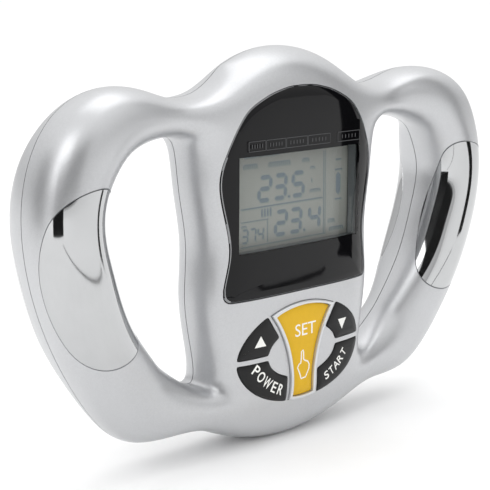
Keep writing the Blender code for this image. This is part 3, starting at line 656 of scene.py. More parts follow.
# ---------------------------------------------------------------- the case
@dataclass
class Skin:
    """The outer surface of the case, as a cage for subdivision.

    The body is rows of points from the base to the crown, and the handle is rings round its curve.
    """

    # Height at the side seam, height at the middle, half width, y of the front and of the back.
    body: tuple[tuple[float, ...], ...] = (
        (11.5, -3.0, 41.0, -9.7, 11.5),
        (15.0, 14.0, 38.0, -14.0, 11.0),
        (19.0, 19.0, 33.0, -15.0, 11.0),
        (38.0, 38.0, 36.5, -15.0, 11.0),
        (54.0, 54.0, 39.5, -15.0, 11.0),
        (71.0, 71.0, 36.5, -15.0, 11.0),
        (90.0, 90.0, 41.0, -15.0, 11.0),
        (107.0, 107.0, 41.5, -15.0, 11.0),
        (113.0, 113.0, 39.0, -15.0, 11.0),
        (119.0, 129.0, 33.0, -14.7, 9.0),
        (129.0, 135.3, 22.5, -6.0, 5.0),
    )
    # Corners of a row, as shares of its half width, from the front round the side to the back.
    columns: tuple[float, ...] = (0.0, 0.55, 0.97, 1.03, 0.97, 0.55, 0.0)
    edge_softening: float = 2.0
    sockets: tuple[int, int] = (0, 7)  # rows where the lower and upper ends of the handle grow
    # x, height, half width across the handle, half depth and y of the centre.
    handle: tuple[tuple[float, ...], ...] = (
        (48.0, 113.5, 6.0, 13.0, 1.0),
        (64.5, 115.5, 10.5, 12.5, -2.0),
        (78.0, 111.5, 13.5, 13.5, -3.5),
        (86.0, 99.5, 13.5, 16.5, -0.8),
        (89.0, 85.0, 12.5, 17.5, -0.3),
        (85.5, 67.0, 13.5, 17.0, 0.0),
        (79.0, 49.0, 13.5, 16.5, 1.0),
        (67.0, 30.0, 14.5, 12.0, 0.0),
        (58.0, 20.5, 15.0, 12.0, 1.5),
    )
    stations: int = 13
    corner: float = 0.8
    parting_y: float = 1.0
    levels: int = 3

    def __post_init__(self) -> None:
        """Builds the surface that every piece is cut from."""
        self.surface = self.build("skin")

    def row_points(self) -> list[list[Vector]]:
        """Places of the body's rows, right half."""
        rows = []
        for side_z, middle_z, half_width, front, back in self.body:
            soft = self.edge_softening
            depths = (front, front, front + soft, self.parting_y, back - soft, back, back)
            row = []
            for share, y in zip(self.columns, depths):
                bow = 1 - min(1.0, share) ** 2
                row.append(Vector((share * half_width, y, side_z + (middle_z - side_z) * bow)) * MM)
            rows.append(row)
        return rows

    def ring_points(self) -> list[list[Vector]]:
        """Places of the handle's rings, from its upper end to its lower one."""
        stations = spline_through(self.handle, self.stations)
        ends = [(self.body[row + 1][2], self.body[row + 1][0]) for row in reversed(self.sockets)]
        line = [ends[0]] + [(s[0], s[1]) for s in stations] + [ends[1]]
        k = self.corner
        shares = ((-k, -k), (-1, 0), (-k, k), (0, 1), (k, k), (1, 0), (k, -k), (0, -1))
        rings = []
        for i, (x, z, half_width, half_depth, y) in enumerate(stations, 1):
            run = Vector((line[i + 1][0] - line[i - 1][0], line[i + 1][1] - line[i - 1][1])).normalized()
            outward = Vector((-run.y, run.x)) * half_width
            rings.append([Vector((x + a * outward.x, y + b * half_depth, z + a * outward.y)) * MM
                          for a, b in shares])
        return rings

    def socket_loop(self, rows: list[list[Vector]], start: int) -> list[Vector]:
        """The eight places round a socket whose first row is start."""
        steps = ((0, 2), (0, 3), (0, 4), (1, 4), (2, 4), (2, 3), (2, 2), (1, 2))
        return [rows[start + r][c] for r, c in steps]

    def build(self, name: str) -> Object:
        """Models the right half, mirrors it and subdivides it.

        Args:
            name: Name of the new object.

        Returns:
            The closed, smooth outer surface.
        """
        rows, rings = self.row_points(), self.ring_points()
        across, up = len(self.columns) - 1, len(self.body) - 1
        select_nothing()
        bpy.ops.mesh.primitive_grid_add(x_subdivisions=across, y_subdivisions=up, size=2.0)
        made = bpy.context.object
        made.name = name
        bpy.ops.object.mode_set(mode="EDIT")
        bpy.ops.mesh.select_mode(type="FACE")
        self.open_sockets(made, across, up)
        bpy.ops.mesh.select_mode(type="VERT")
        bpy.ops.mesh.select_all(action="SELECT")
        flat = [Vector((2 * c / across - 1, 2 * r / up - 1, 0))
                for r in range(up + 1) for c in range(across + 1)]
        place_vertices(made, flat, [point for row in rows for point in row])
        for row in (rows[0], rows[-1]):
            for corners in ((0, 1, 5, 6), (1, 2, 4, 5), (2, 3, 4)):
                self.fill(made, [row[c] for c in corners])
        last = self.socket_loop(rows, self.sockets[1])
        self.choose(made, last)
        for target in rings:
            bpy.ops.mesh.extrude_edges_move()
            place_vertices(made, last, target)
            last = target
        loop = self.socket_loop(rows, self.sockets[0])
        lower = [loop[i] for i in (6, 5, 4, 3, 2, 1, 0, 7)]  # the handle comes in upside down here
        for j in range(8):
            self.fill(made, [last[j], last[(j + 1) % 8], lower[(j + 1) % 8], lower[j]])
        bpy.ops.mesh.select_all(action="SELECT")
        bpy.ops.mesh.normals_make_consistent(inside=False)
        bpy.ops.object.mode_set(mode="OBJECT")
        apply_modifier(made, "MIRROR", {"merge_threshold": 1e-5})
        settings = {"levels": self.levels, "render_levels": self.levels}
        apply_modifier(made, "SUBSURF", settings)
        return smooth(made, 180.0)

    def open_sockets(self, made: Object, across: int, up: int) -> None:
        """Deletes the side faces of the flat grid where the handle will grow."""
        mesh = bmesh.from_edit_mesh(made.data)
        taken = [start + step for start in self.sockets for step in (0, 1)]
        for face in mesh.faces:
            middle = face.calc_center_median()
            column = int((middle.x + 1) / 2 * across)
            row = int((middle.y + 1) / 2 * up)
            face.select_set(column in (2, 3) and row in taken)
        bmesh.update_edit_mesh(made.data)
        bpy.ops.mesh.delete(type="ONLY_FACE")
        hearts = [Vector((2 * 3 / across - 1, 2 * (start + 1) / up - 1, 0)) for start in self.sockets]
        self.choose(made, hearts)
        bpy.ops.mesh.delete(type="VERT")

    def choose(self, made: Object, places: Iterable[Vector]) -> None:
        """Selects the vertices at these places, and the edges between them."""
        bpy.ops.mesh.select_all(action="DESELECT")
        mesh = bmesh.from_edit_mesh(made.data)
        for place in places:
            nearest = min(mesh.verts, key=lambda v: (v.co - place).length_squared)
            nearest.select_set(True)
        mesh.select_flush(True)
        bmesh.update_edit_mesh(made.data)

    def fill(self, made: Object, places: Iterable[Vector]) -> None:
        """Makes one face between the vertices at these places."""
        mesh = bmesh.from_edit_mesh(made.data)
        corners = [min(mesh.verts, key=lambda v: (v.co - place).length_squared) for place in places]
        mesh.faces.new(corners)
        bmesh.update_edit_mesh(made.data)

    def offset(self, name: str, inset: float) -> Object:
        """The skin moved inwards by inset, or outwards where it is negative."""
        made = copied(self.surface, name)
        return apply_modifier(made, "DISPLACE", {"strength": -inset * MM, "mid_level": 0.0})

    def y_at(self, x: float, z: float, facing: int = -1) -> float:
        """Depth of the skin at a place of the front or the back view.

        Args:
            x: Place across, in millimetres.
            z: Height.
            facing: -1 for the front, 1 for the back.

        Returns:
            y in millimetres.
        """
        start = Vector((x, facing * CAST_FROM, z)) * MM
        found, place, _, _ = self.surface.ray_cast(start, Vector((0.0, -facing, 0.0)))
        if not found:
            raise ValueError(f"no skin at {x}, {z}")
        return place.y / MM

    def domed(self, name: str, shape: Callable[[float], Outline], proud: float,
              steps: Sequence[tuple[float, float]], base_y: float, facing: int = -1) -> Object:
        """A plate that stands proud of the skin, with a rounded rim and a crown.

        Args:
            name: Name of the new object.
            shape: The outline when grown by a distance.
            proud: How far its highest point stands off the skin.
            steps: Rings as how far in and how far below the top.
            base_y: Depth of its flat back.
            facing: -1 for the front, 1 for the back.

        Returns:
            The closed plate.
        """
        rings = [front_ring(shape(0.0), base_y)]
        for inward, below in steps:
            lift = facing * (proud - below)
            rings.append([Vector((x, self.y_at(x, z, facing) + lift, z)) * MM for x, z in shape(-inward)])
        return loft(name, rings)


@dataclass
class Shells:
    """The two halves of the case, with what is cut into them."""

    skin: Skin
    wall: float = 2.4
    seam: float = 0.3
    cavity_stations: int = 9
    screw_places: tuple[tuple[float, float], ...] = ((35.0, 113.0), (45.0, 21.0), (84.0, 104.5))
    screw_hole_radius: float = 1.5
    head_well_radius: float = 2.8
    post_cover: float = 0.8
    # Faces further under the skin than this are bare. The light well lies in front of well_back_y.
    paint_reach: float = 0.35
    well_back_y: float = -8.0
    well_edge: float = 0.1
    screw_post_radius: float = 4.2
    screw_seat_y: float = 5.0
    base_z: float = 0.0
    top_z: float = 140.0

    def __post_init__(self) -> None:
        """Makes the inside of the case once."""
        inner = Skin(stations=self.cavity_stations, levels=2)
        self.cavity = inner.offset("cavity", self.wall)
        bpy.data.objects.remove(inner.surface)

    def half(self, name: str, y_from: float, y_to: float) -> Object:
        """One half of the case as a hollow shell, flat under its base."""
        shell = copied(self.skin.surface, name)
        limit = block("half", (-REACH, y_from, self.base_z), (REACH, y_to, self.top_z))
        boolean(shell, Cut.KEEP_SHARED, limit)
        return boolean(shell, Cut.REMOVE, copied(self.cavity, "hollow"))

    def build_front(self, openings: Sequence[Object], well: Object, view: Object) -> Object:
        """Front half with the light well, the view hole and every other opening.

        Args:
            openings: Closed meshes to cut out.
            well: The block that the walls round the display are cut from.
            view: The hole through it.

        Returns:
            The shell.
        """
        shell = self.half("front_case", -REACH, self.skin.parting_y - self.seam / 2)
        boolean(shell, Cut.JOIN, well)
        boolean(shell, Cut.REMOVE, *openings, view)
        return smooth(shell)

    def build_rear(self, bay_walls: Object, openings: Sequence[Object]) -> Object:
        """Rear half with the battery bay and the screw wells."""
        start = self.skin.parting_y + self.seam / 2
        shell = self.half("rear_case", start, REACH)
        boolean(shell, Cut.JOIN, bay_walls)
        boolean(shell, Cut.REMOVE, *openings)
        for x, z in [(side * x, z) for x, z in self.screw_places for side in (-1, 1)]:
            radius = self.screw_post_radius
            post = turned("post", ((radius, start), (radius, REACH)), (x, 0, z))
            boolean(post, Cut.KEEP_SHARED, self.skin.offset("post_limit", self.post_cover))
            boolean(shell, Cut.JOIN, post)
            profile = ((self.screw_hole_radius, -REACH), (self.screw_hole_radius, self.screw_seat_y),
                       (self.head_well_radius, self.screw_seat_y), (self.head_well_radius, REACH))
            boolean(shell, Cut.REMOVE, turned("bore", profile, (x, 0, z)))
        return smooth(shell)

    def dress_shell(self, shell: Object, outside: Material, inside: Material, well: Material | None = None,
                    well_box: tuple[float, ...] = ()) -> Object:
        """Paints the outside, and leaves bare what lies under the skin.

        Args:
            shell: The half to dress.
            outside: The paint.
            inside: The bare moulding.
            well: The finish of the light well, or none.
            well_box: Its half width, bottom and top.

        Returns:
            The shell.
        """
        dress(shell, outside, inside, *([well] if well else []))
        for face in shell.data.polygons:
            found, place, _, _ = self.skin.surface.closest_point_on_mesh(face.center)
            depth = (place - face.center).length / MM
            face.material_index = int(found and depth > self.paint_reach)
            x, y, z = face.center / MM
            in_box = well and abs(x) < well_box[0] and well_box[1] < z < well_box[2]
            if in_box and y < self.well_back_y and depth > self.well_edge:
                face.material_index = 2
        return shell


@dataclass
class ContactPlates:
    """The four chrome plates that the palms and fingers touch."""

    skin: Skin
    # Place along the handle from its middle, and y, of the edge seen from the side.
    edge: tuple[tuple[float, float], ...] = ((33.0, -20.0), (22.0, -10.2), (4.0, -4.9), (-17.0, -7.2),
                                             (-30.0, -15.5))
    middle: tuple[float, float] = (82.5, 67.0)
    along: tuple[float, float] = (0.184, 0.983)
    thickness: float = 1.2
    clearance: float = 0.22
    half_length: float = 26.0
    stud_place: tuple[float, float] = (87.0, 76.0)
    stud_radius: float = 1.6
    stud_end_y: float = 8.0
    stud_hole_y: tuple[float, float] = (5.0, 30.0)
    stud_cover: float = 0.6
    edge_points: int = 41
    growth_length: float = 30.0  # along the handle, where the edge moves by as much as it grows
    front_y: float = -30.0

    def wedge(self, name: str, side: int, facing: int, grow: float) -> Object:
        """A block across one handle that ends in the plate's curved edge."""
        slope = Vector((self.along[0], 0.0, self.along[1])).normalized()
        across = Vector((slope.z, 0.0, -slope.x))
        middle = Vector((self.middle[0], 0.0, self.middle[1]))
        stretch = 1 + grow / self.growth_length
        outline = [(t * stretch, y + grow) for t, y in spline_through(self.edge, self.edge_points)]
        outline += [(outline[-1][0], self.front_y), (outline[0][0], self.front_y)]
        rings = []
        for reach in (-self.half_length, self.half_length):
            points = []
            for t, y in outline:
                place = middle + slope * t + across * reach
                depth = y if facing < 0 else 2 * self.skin.parting_y - y
                points.append(Vector((side * place.x, depth, place.z)) * MM)
            rings.append(points)
        return loft(name, rings)

    def recess(self, side: int, facing: int) -> Object:
        """What a plate's recess and the hole for its stud take out of the shell."""
        pocket = self.wedge("recess", side, facing, self.clearance)
        boolean(pocket, Cut.REMOVE, self.skin.offset("recess_floor", self.thickness + GAP))
        y_from, y_to = sorted(facing * y for y in self.stud_hole_y)
        radius = self.stud_radius + GAP
        place = (side * self.stud_place[0], 0.0, self.stud_place[1])
        return boolean(pocket, Cut.JOIN, turned("stud_hole", ((radius, y_from), (radius, y_to)), place))

    def build(self, name: str, side: int, facing: int) -> Object:
        """One plate with its stud.

        Args:
            name: Name of the piece.
            side: -1 for the left handle, 1 for the right.
            facing: -1 for the front, 1 for the back.

        Returns:
            The plate.
        """
        plate = self.wedge(name, side, facing, 0.0)
        boolean(plate, Cut.KEEP_SHARED, copied(self.skin.surface, "outside"))
        boolean(plate, Cut.REMOVE, self.skin.offset("inside", self.thickness))
        y_from, y_to = sorted((facing * self.stud_end_y, facing * REACH))
        place = (side * self.stud_place[0], 0.0, self.stud_place[1])
        stud = turned("stud", ((self.stud_radius, y_from), (self.stud_radius, y_to)), place)
        boolean(stud, Cut.KEEP_SHARED, self.skin.offset("stud_limit", self.stud_cover))
        return reflect_like(boolean(plate, Cut.JOIN, stud), self.skin.surface)


# ---------------------------------------------------------------- display
@dataclass
class Display:
    """The glossy window, the liquid crystal cell behind it and what it shows."""

    skin: Skin
    side: tuple[tuple[float, float], ...] = ((0.0, 122.0), (6.5, 121.65), (16.5, 118.9), (25.5, 113.5),
                                             (33.3, 100.0), (34.8, 91.0), (31.3, 71.0), (33.4, 57.5))
    bottom_z: float = 53.0
    corner_radius: float = 2.5
    middle: tuple[float, float] = (0.0, 86.0)
    clearance: float = 0.12
    thickness: float = 1.3
    rim_radius: float = 0.55
    view: tuple[float, float, float] = (28.0, 68.6, 100.2)  # half width, bottom and top
    well_wall: float = 1.0
    well_taper: float = 1.7  # how far the side walls lean in towards the cell
    well_lip: float = 0.25  # the walls are upright from this far in front of the cell
    well_sink: float = 0.12  # below the back of the window
    view_corner: float = 0.8
    cell_y: tuple[float, float] = (-10.0, -8.0)
    cell_half: tuple[float, float] = (29.0, 19.0)
    segment_depth: float = 0.025
    # Segments a to g of a digit: start and end, as shares of its width and height.
    segments: tuple[tuple[float, ...], ...] = (
        (0.0, 1.0, 1.0, 1.0), (1.0, 1.0, 1.0, 0.5), (1.0, 0.5, 1.0, 0.0), (0.0, 0.0, 1.0, 0.0),
        (0.0, 0.5, 0.0, 0.0), (0.0, 1.0, 0.0, 0.5), (0.0, 0.5, 1.0, 0.5),
    )
    lit: tuple[tuple[str, str], ...] = (("2", "abged"), ("3", "abgcd"), ("4", "fgbc"), ("5", "afgcd"),
                                         ("7", "abc"))
    # Digits: which, left, bottom, width, height and stroke.
    digits: tuple[tuple[str, float, float, float, float, float], ...] = (
        ("2", -15.9, 84.6, 5.0, 7.6, 1.5), ("3", -8.9, 84.6, 5.0, 7.6, 1.5), ("5", -0.5, 84.6, 5.0, 7.6, 1.5),
        ("2", -8.4, 72.3, 4.8, 7.6, 1.4), ("3", -1.6, 72.3, 4.8, 7.6, 1.4), ("4", 7.4, 72.3, 4.8, 7.6, 1.4),
        ("3", -23.4, 71.4, 2.4, 4.2, 0.65), ("7", -19.9, 71.4, 2.4, 4.2, 0.65),
        ("4", -16.4, 71.4, 2.4, 4.2, 0.65),
    )
    digit_lean: float = 0.08
    segment_gap: float = 0.12  # left open at each end of a segment, as a share of the stroke
    # Decimal points, the lines that divide the display, and the bar of the scale: start, end and width.
    lines: tuple[tuple[tuple[float, float], tuple[float, float], float], ...] = (
        ((-2.7, 84.6), (-1.3, 84.6), 1.3), ((4.6, 72.3), (6.0, 72.3), 1.2),
        ((-17.2, 71.3), (-16.8, 71.3), 0.5), ((-23.9, 82.5), (14.1, 82.5), 0.45),
        ((14.6, 98.6), (14.6, 69.6), 0.3), ((15.4, 98.6), (15.4, 69.6), 0.2),
        ((-23.8, 78.2), (-11.4, 78.2), 0.3), ((-12.0, 78.2), (-12.0, 70.4), 0.3),
        ((-23.8, 69.9), (15.6, 69.9), 0.25), ((21.8, 82.6), (21.8, 90.6), 2.2),
        ((20.0, 91.5), (23.8, 91.5), 0.5), ((20.3, 95.0), (23.4, 95.0), 0.5),
        ((20.0, 81.2), (23.6, 81.2), 0.5),
    )
    tally_x: tuple[float, ...] = (-14.4, -13.1, -11.8, -10.5)
    tally_z: tuple[float, float] = (78.9, 81.9)
    # Small words stand as rows of close strokes: left, right, height of the middle, and height.
    words: tuple[tuple[float, float, float, float], ...] = (
        (-22.4, -15.6, 96.2, 1.5), (-11.2, -0.4, 96.0, 1.6), (4.4, 8.8, 96.1, 1.3), (-22.0, -5.0, 99.2, 0.5),
        (8.2, 11.6, 93.2, 0.9), (8.8, 10.6, 89.0, 1.6), (8.0, 14.0, 85.3, 1.1), (17.0, 20.8, 73.8, 1.3),
        (17.6, 26.0, 70.9, 1.2), (-23.4, -20.4, 76.6, 0.8),
    )
    word_pitch: float = 0.95
    caption_z: tuple[float, float] = (101.9, 105.1)
    caption_inset: float = 0.9
    caption_boxes: tuple[tuple[float, float], ...] = ((-24.6, -17.4), (-17.0, -8.4), (-8.0, 1.6), (2.0, 12.4),
                                                      (16.2, 27.0))
    caption_line: float = 0.22
    caption_mark: float = 0.35
    caption_reach: float = 0.3  # of the marks to each side, as a share of the box
    caption_depth: float = 0.02
    caption_lift: float = 0.008

    def outline(self, grow: float) -> Outline:
        """The window: a round top, a waist and a straight bottom edge."""
        side = [(x + grow * min(1.0, x / 10.0), z + grow * (z - 90.0) / 40.0)
                for x, z in spline_through(self.side, 40)]
        side[0] = (0.0, self.side[0][1] + grow)
        low = self.bottom_z - grow
        radius = self.corner_radius
        corner = arc((side[-1][0] - radius, low + radius), radius, 0, -90, 6)
        return closed_by_mirror(side + corner + [(x * side[-1][0], low) for x in (0.6, 0.3)] + [(0.0, low)])

    def build_window(self) -> Object:
        """The window plate, black all round and clear over the display."""
        edge = self.outline(-self.clearance)
        rings = [[(x, z, self.thickness) for x, z in edge]]
        for inward, below in rim_steps(self.rim_radius):
            rings.append([(x, z, below) for x, z in self.outline(-self.clearance - inward)])
        flat = self.outline(-self.clearance - self.rim_radius)
        across, up = self.middle
        for share in (0.94, 0.86, 0.76, 0.64, 0.5, 0.35, 0.2, 0.08):
            rings.append([(across + (x - across) * share, up + (z - up) * share, 0.0) for x, z in flat])
        back = [[(across + (x - across) * share, up + (z - up) * share, self.thickness) for x, z in edge]
                for share in (0.08, 0.35, 0.64, 0.86)]
        places = [[Vector((x, self.skin.y_at(x, z) + depth, z)) * MM for x, z, depth in points]
                  for points in back + rings]
        window = loft("window_plate", places)
        half_width, low, high = self.view
        only(window)
        bpy.ops.object.mode_set(mode="EDIT")
        for place, normal in (((half_width, 0, 0), (1, 0, 0)), ((-half_width, 0, 0), (1, 0, 0)),
                              ((0, 0, low), (0, 0, 1)), ((0, 0, high), (0, 0, 1))):
            bpy.ops.mesh.select_all(action="SELECT")
            bpy.ops.mesh.bisect(plane_co=Vector(place) * MM, plane_no=normal)
        bpy.ops.object.mode_set(mode="OBJECT")
        return smooth(window, 25.0)

    def dress_window(self, window: Object, black: Material, clear: Material, edge: Material) -> Object:
        """Leaves the plate clear inside the view rectangle, and its rounded rim unprinted, partly a painted
        highlight.
        """
        dress(window, black, clear, edge)
        half_width, low, high = self.view
        for face in window.data.polygons:
            x, _, z = face.center / MM
            face.material_index = int(abs(x) < half_width and low < z < high)
            # The rim's slanted faces: unprinted acrylic, in a lighter grey that is partly a painted
            # highlight.
            if -0.9 < face.normal.y < -0.6 and face.area < 3.0 * MM * MM:
                face.material_index = 2
        return window

    def pocket(self) -> Object:
        """What the window's seat takes out of the front shell."""
        cut = prism("window_seat", self.outline(self.clearance), -REACH, 0.0)
        return boolean(cut, Cut.REMOVE, self.skin.offset("window_floor", self.thickness + GAP))

    def well(self) -> tuple[Object, Object]:
        """The block that walls the display in, and the hole through it."""
        half_width, low, high = self.view
        wall = self.well_wall
        body = block("well", (-half_width - wall, -REACH, low - wall),
                     (half_width + wall, self.cell_y[0] - GAP, high + wall))
        boolean(body, Cut.KEEP_SHARED, self.skin.offset("well_limit", self.thickness + self.well_sink))
        wide = rounded_rectangle(half_width, low, high, self.view_corner)
        narrow = rounded_rectangle(half_width - self.well_taper, low, high, self.view_corner)
        seat_y = self.skin.y_at(0.0, low) + self.thickness
        hole = loft("view_hole", [front_ring(wide, -REACH), front_ring(wide, seat_y),
                                  front_ring(narrow, self.cell_y[0] - self.well_lip),
                                  front_ring(narrow, 0.0)])
        return body, hole

    def build_cell(self) -> Object:
        """The glass cell."""
        half_width, half_height = self.cell_half
        centre_z = (self.view[1] + self.view[2]) / 2
        return smooth(block("liquid_crystal_cell", (-half_width, self.cell_y[0], centre_z - half_height),
                            (half_width, self.cell_y[1], centre_z + half_height), 0.3))

    def bar(self, start: tuple[float, float], end: tuple[float, float], width: float) -> Object:
        """One stroke with pointed ends, flat on the cell."""
        here, there = Vector(start), Vector(end)
        run = (there - here).normalized()
        side = Vector((-run.y, run.x)) * width / 2
        tip = run * width / 2
        points = (here, here + tip + side, there - tip + side, there, there - tip - side, here + tip - side)
        return ring("stroke", [Vector((p.x, 0.0, p.y)) * MM for p in points])

    def digit(self, name: str, left: float, bottom: float, width: float, height: float,
              stroke: float) -> list[Object]:
        """The lit segments of one digit, leaning a little."""
        found = []
        lean = self.digit_lean * height
        for letter in dict(self.lit)[name]:
            x0, z0, x1, z1 = self.segments["abcdefg".index(letter)]
            start = (left + x0 * width + z0 * lean, bottom + z0 * height)
            end = (left + x1 * width + z1 * lean, bottom + z1 * height)
            run = Vector((end[0] - start[0], end[1] - start[1])).normalized() * self.segment_gap * stroke
            found.append(self.bar((start[0] + run.x, start[1] + run.y),
                                  (end[0] - run.x, end[1] - run.y), stroke))
        return found

    def reading(self) -> list[Object]:
        """Everything that the display shows, as flat strokes."""
        found = [stroke for digit in self.digits for stroke in self.digit(*digit)]
        low, high = self.tally_z
        strokes = list(self.lines) + [((x, low), (x, high), 0.75) for x in self.tally_x]
        step = self.word_pitch
        for left, right, z, height in self.words:
            low, high = z - height / 2, z + height / 2
            count = int((right - left) / step)
            strokes += [((left + i * step, low), (left + i * step, high), 0.42) for i in range(count)]
            strokes.append(((left, high), (left + (count - 1) * step, high), 0.3))
        return found + [self.bar(start, end, width) for start, end, width in strokes]

    def build_reading(self, name: str, drop: tuple[float, float, float]) -> Object:
        """The lit segments as one thin layer.

        Args:
            name: Name of the piece.
            drop: How far it is moved from the cell's face.

        Returns:
            The layer.
        """
        made = layer(name, self.reading(), self.segment_depth)
        for vertex in made.data.vertices:
            vertex.co += Vector((drop[0], self.cell_y[0] + drop[1], drop[2])) * MM
        return made

    def build_captions(self) -> Object:
        """A row of thin boxes over the display, with short strokes in place of captions."""
        low, high = self.caption_z
        mark_low, mark_high = low + self.caption_inset, high - self.caption_inset
        y = self.skin.y_at(0.0, (low + high) / 2)
        pieces = []
        for left, right in self.caption_boxes:
            corners = ((left, low), (right, low), (right, high), (left, high))
            for a, b in zip(corners, corners[1:] + corners[:1]):
                pieces.append(self.bar(a, b, self.caption_line))
            middle, reach = (left + right) / 2, (right - left) * self.caption_reach
            for share in (-1.0, -0.5, 0.0, 0.5, 1.0):
                x = middle + reach * share
                pieces.append(self.bar((x, mark_low), (x, mark_high), self.caption_mark))
        made = layer("window_captions", pieces, self.caption_depth)
        for vertex in made.data.vertices:
            vertex.co.y += (y - self.caption_lift) * MM
        return made


# ---------------------------------------------------------------- keys
@dataclass
class Keys:
    """Four black keys round a yellow one in a silver frame, and their printing."""

    skin: Skin
    centre_z: float = 32.0
    outer: tuple[float, float] = (28.6, 17.1)
    inner: tuple[float, float] = (16.1, 8.9)
    split_z: float = 32.1
    split: float = 1.0
    set_side_radius: float = 40.4
    set_side_centre: tuple[float, float] = (46.2, 21.0)
    set_top: tuple[float, float] = (38.7, 49.2)  # radius and height of the arc across the top
    set_bottom: tuple[float, float] = (29.6, 14.9)
    set_margin: float = 1.3
    key_proud: float = 0.6
    frame_proud: float = 1.0
    cap_proud: float = 0.25
    frame_width: float = 1.1
    frame_rim_radius: float = 0.35
    cap_gap: float = 0.12
    clearance: float = 0.22
    back_y: float = -10.2
    corner: float = 0.9
    ink_depth: float = 0.04
    ink_root: float = 0.08  # how far the printing reaches into the key
    ink_cuts: int = 2
    # Printing: an arrow's corners, each letter's middle and turn, and the line round the hand.
    up_arrow: tuple[tuple[float, float], ...] = ((-22.3, 36.8), (-17.5, 36.8), (-19.7, 40.5))
    down_arrow: tuple[tuple[float, float], ...] = ((21.2, 39.8), (16.9, 39.8), (19.0, 36.0))
    power_letters: tuple[tuple[float, float, float], ...] = (
        (-21.6, 28.9, -48), (-19.5, 26.4, -44), (-16.7, 23.8, -38), (-13.7, 21.7, -30), (-10.9, 20.3, -24),
    )
    start_letters: tuple[tuple[float, float, float], ...] = (
        (11.5, 20.8, 26), (14.0, 22.0, 32), (16.4, 23.5, 38), (18.4, 25.3, 44), (20.1, 27.4, 50),
    )
    hand_path: tuple[tuple[float, float], ...] = (
        (-0.9, 31.6), (-0.1, 32.0), (0.1, 31.2), (0.2, 28.6), (1.0, 28.1), (2.2, 27.6), (2.9, 26.4),
        (2.8, 24.9), (1.9, 23.4), (1.2, 22.2), (-0.9, 22.0), (-1.4, 23.4), (-2.0, 24.8), (-2.7, 26.2),
        (-2.0, 27.3), (-1.2, 27.6), (-1.0, 29.0),
    )
    hand_half_width: float = 0.24

    def set_side_x(self, z: float, grow: float) -> float:
        """Half width of the middle key at a height."""
        radius = self.set_side_radius - grow
        return self.set_side_centre[0] - math.sqrt(radius ** 2 - (z - self.set_side_centre[1]) ** 2)

    def set_outline(self, grow: float) -> Outline:
        """The middle key: an arc across the top, hollow sides and an arc across the bottom."""
        top_radius, top_z = self.set_top
        low_radius, low_z = self.set_bottom

        def upper(x: float) -> float:
            """Height of the top arc."""
            return top_z - top_radius + math.sqrt((top_radius + grow) ** 2 - x * x)

        def lower(x: float) -> float:
            """Height of the bottom arc."""
            return low_z + low_radius - math.sqrt((low_radius + grow) ** 2 - x * x)

        low = lower(self.set_side_x(low_z, grow))
        high = upper(self.set_side_x(top_z - 2.9, grow))
        low_x, high_x = self.set_side_x(low, grow), self.set_side_x(high, grow)
        half = [(low_x * i / 4, lower(low_x * i / 4)) for i in range(4)]
        rises = [low + (high - low) * i / 20 for i in range(21)]
        half += [(self.set_side_x(z, grow), z) for z in rises]
        half += [(high_x * (6 - i) / 7, upper(high_x * (6 - i) / 7)) for i in range(7)]
        return closed_by_mirror(half)

    def ellipse_point(self, axes: tuple[float, float], grow: float, angle: float) -> tuple[float, float]:
        """A point on one of the two ellipses round the middle of the keys."""
        return ((axes[0] + grow) * math.cos(angle), self.centre_z + (axes[1] + grow) * math.sin(angle))

    def crossing(self, axes: tuple[float, float], grow: float, inside: Callable[[tuple[float, float]], bool],
                 start: float, end: float) -> float:
        """The angle where an ellipse leaves the side that inside tells."""
        for _ in range(40):
            middle = (start + end) / 2
            if inside(self.ellipse_point(axes, grow, middle)):
                start = middle
            else:
                end = middle
        return start

    def key_outline(self, upper: bool, grow: float, side: int = 1) -> Outline:
        """A sector of an elliptical ring beside the middle key.

        Args:
            upper: Whether it is the upper one of its side.
            grow: How much larger than the key.
            side: -1 for the left, 1 for the right.

        Returns:
            The outline, with its corners rounded.
        """
        turn = 1 if upper else -1
        edge_z = self.split_z + turn * (self.split - grow)
        outline: Outline = []
        for axes, growth, backwards in ((self.outer, grow, False), (self.inner, -grow, True)):
            first = self.crossing(axes, growth, lambda p: turn * (p[1] - edge_z) < 0, -turn * 0.3, turn * 0.9)
            last = self.crossing(axes, growth, lambda p: p[0] > self.set_side_x(p[1], self.set_margin - grow),
                                 first, turn * 1.55)
            angles = [first + (last - first) * i / 13 for i in range(14)]
            points = [self.ellipse_point(axes, growth, angle) for angle in angles]
            outline += reversed(points) if backwards else points
        outline = with_round_corners(outline, self.corner)
        return outline if side > 0 else mirrored(outline)

    def openings(self) -> list[Object]:
        """What the keys' holes take out of the front shell."""
        found = [prism("set_hole", self.set_outline(self.clearance), -REACH, 0.0)]
        for upper in (True, False):
            for side in (-1, 1):
                outline = self.key_outline(upper, self.clearance, side)
                found.append(prism("key_hole", outline, -REACH, 0.0))
        return found

    def build_key(self, name: str, upper: bool, side: int) -> Object:
        """One black key with a rounded rim and a low crown."""
        return smooth(self.skin.domed(name, lambda grow: self.key_outline(upper, grow, side), self.key_proud,
                                      dome_steps(0.45, 2.6, 0.22), self.back_y))

    def build_frame(self) -> Object:
        """The silver frame of the middle key."""
        width, proud = self.frame_width, self.frame_proud
        rings = [front_ring(self.set_outline(grow), self.back_y) for grow in (-width, 0.0)]
        steps = rim_steps(self.frame_rim_radius)
        steps += [(width - inward, below) for inward, below in reversed(steps)]
        for inward, below in steps:
            rings.append([Vector((x, self.skin.y_at(x, z) - proud + below, z)) * MM
                          for x, z in self.set_outline(-inward)])
        return smooth(loft("middle_key_frame", rings, hollow=True))

    def build_cap(self) -> Object:
        """The yellow cap, sunk a little in its frame."""
        edge = self.frame_width + self.cap_gap
        return smooth(self.skin.domed("middle_key_cap", lambda grow: self.set_outline(grow - edge),
                                      self.cap_proud, dome_steps(0.3, 3.4, 0.25), self.back_y))

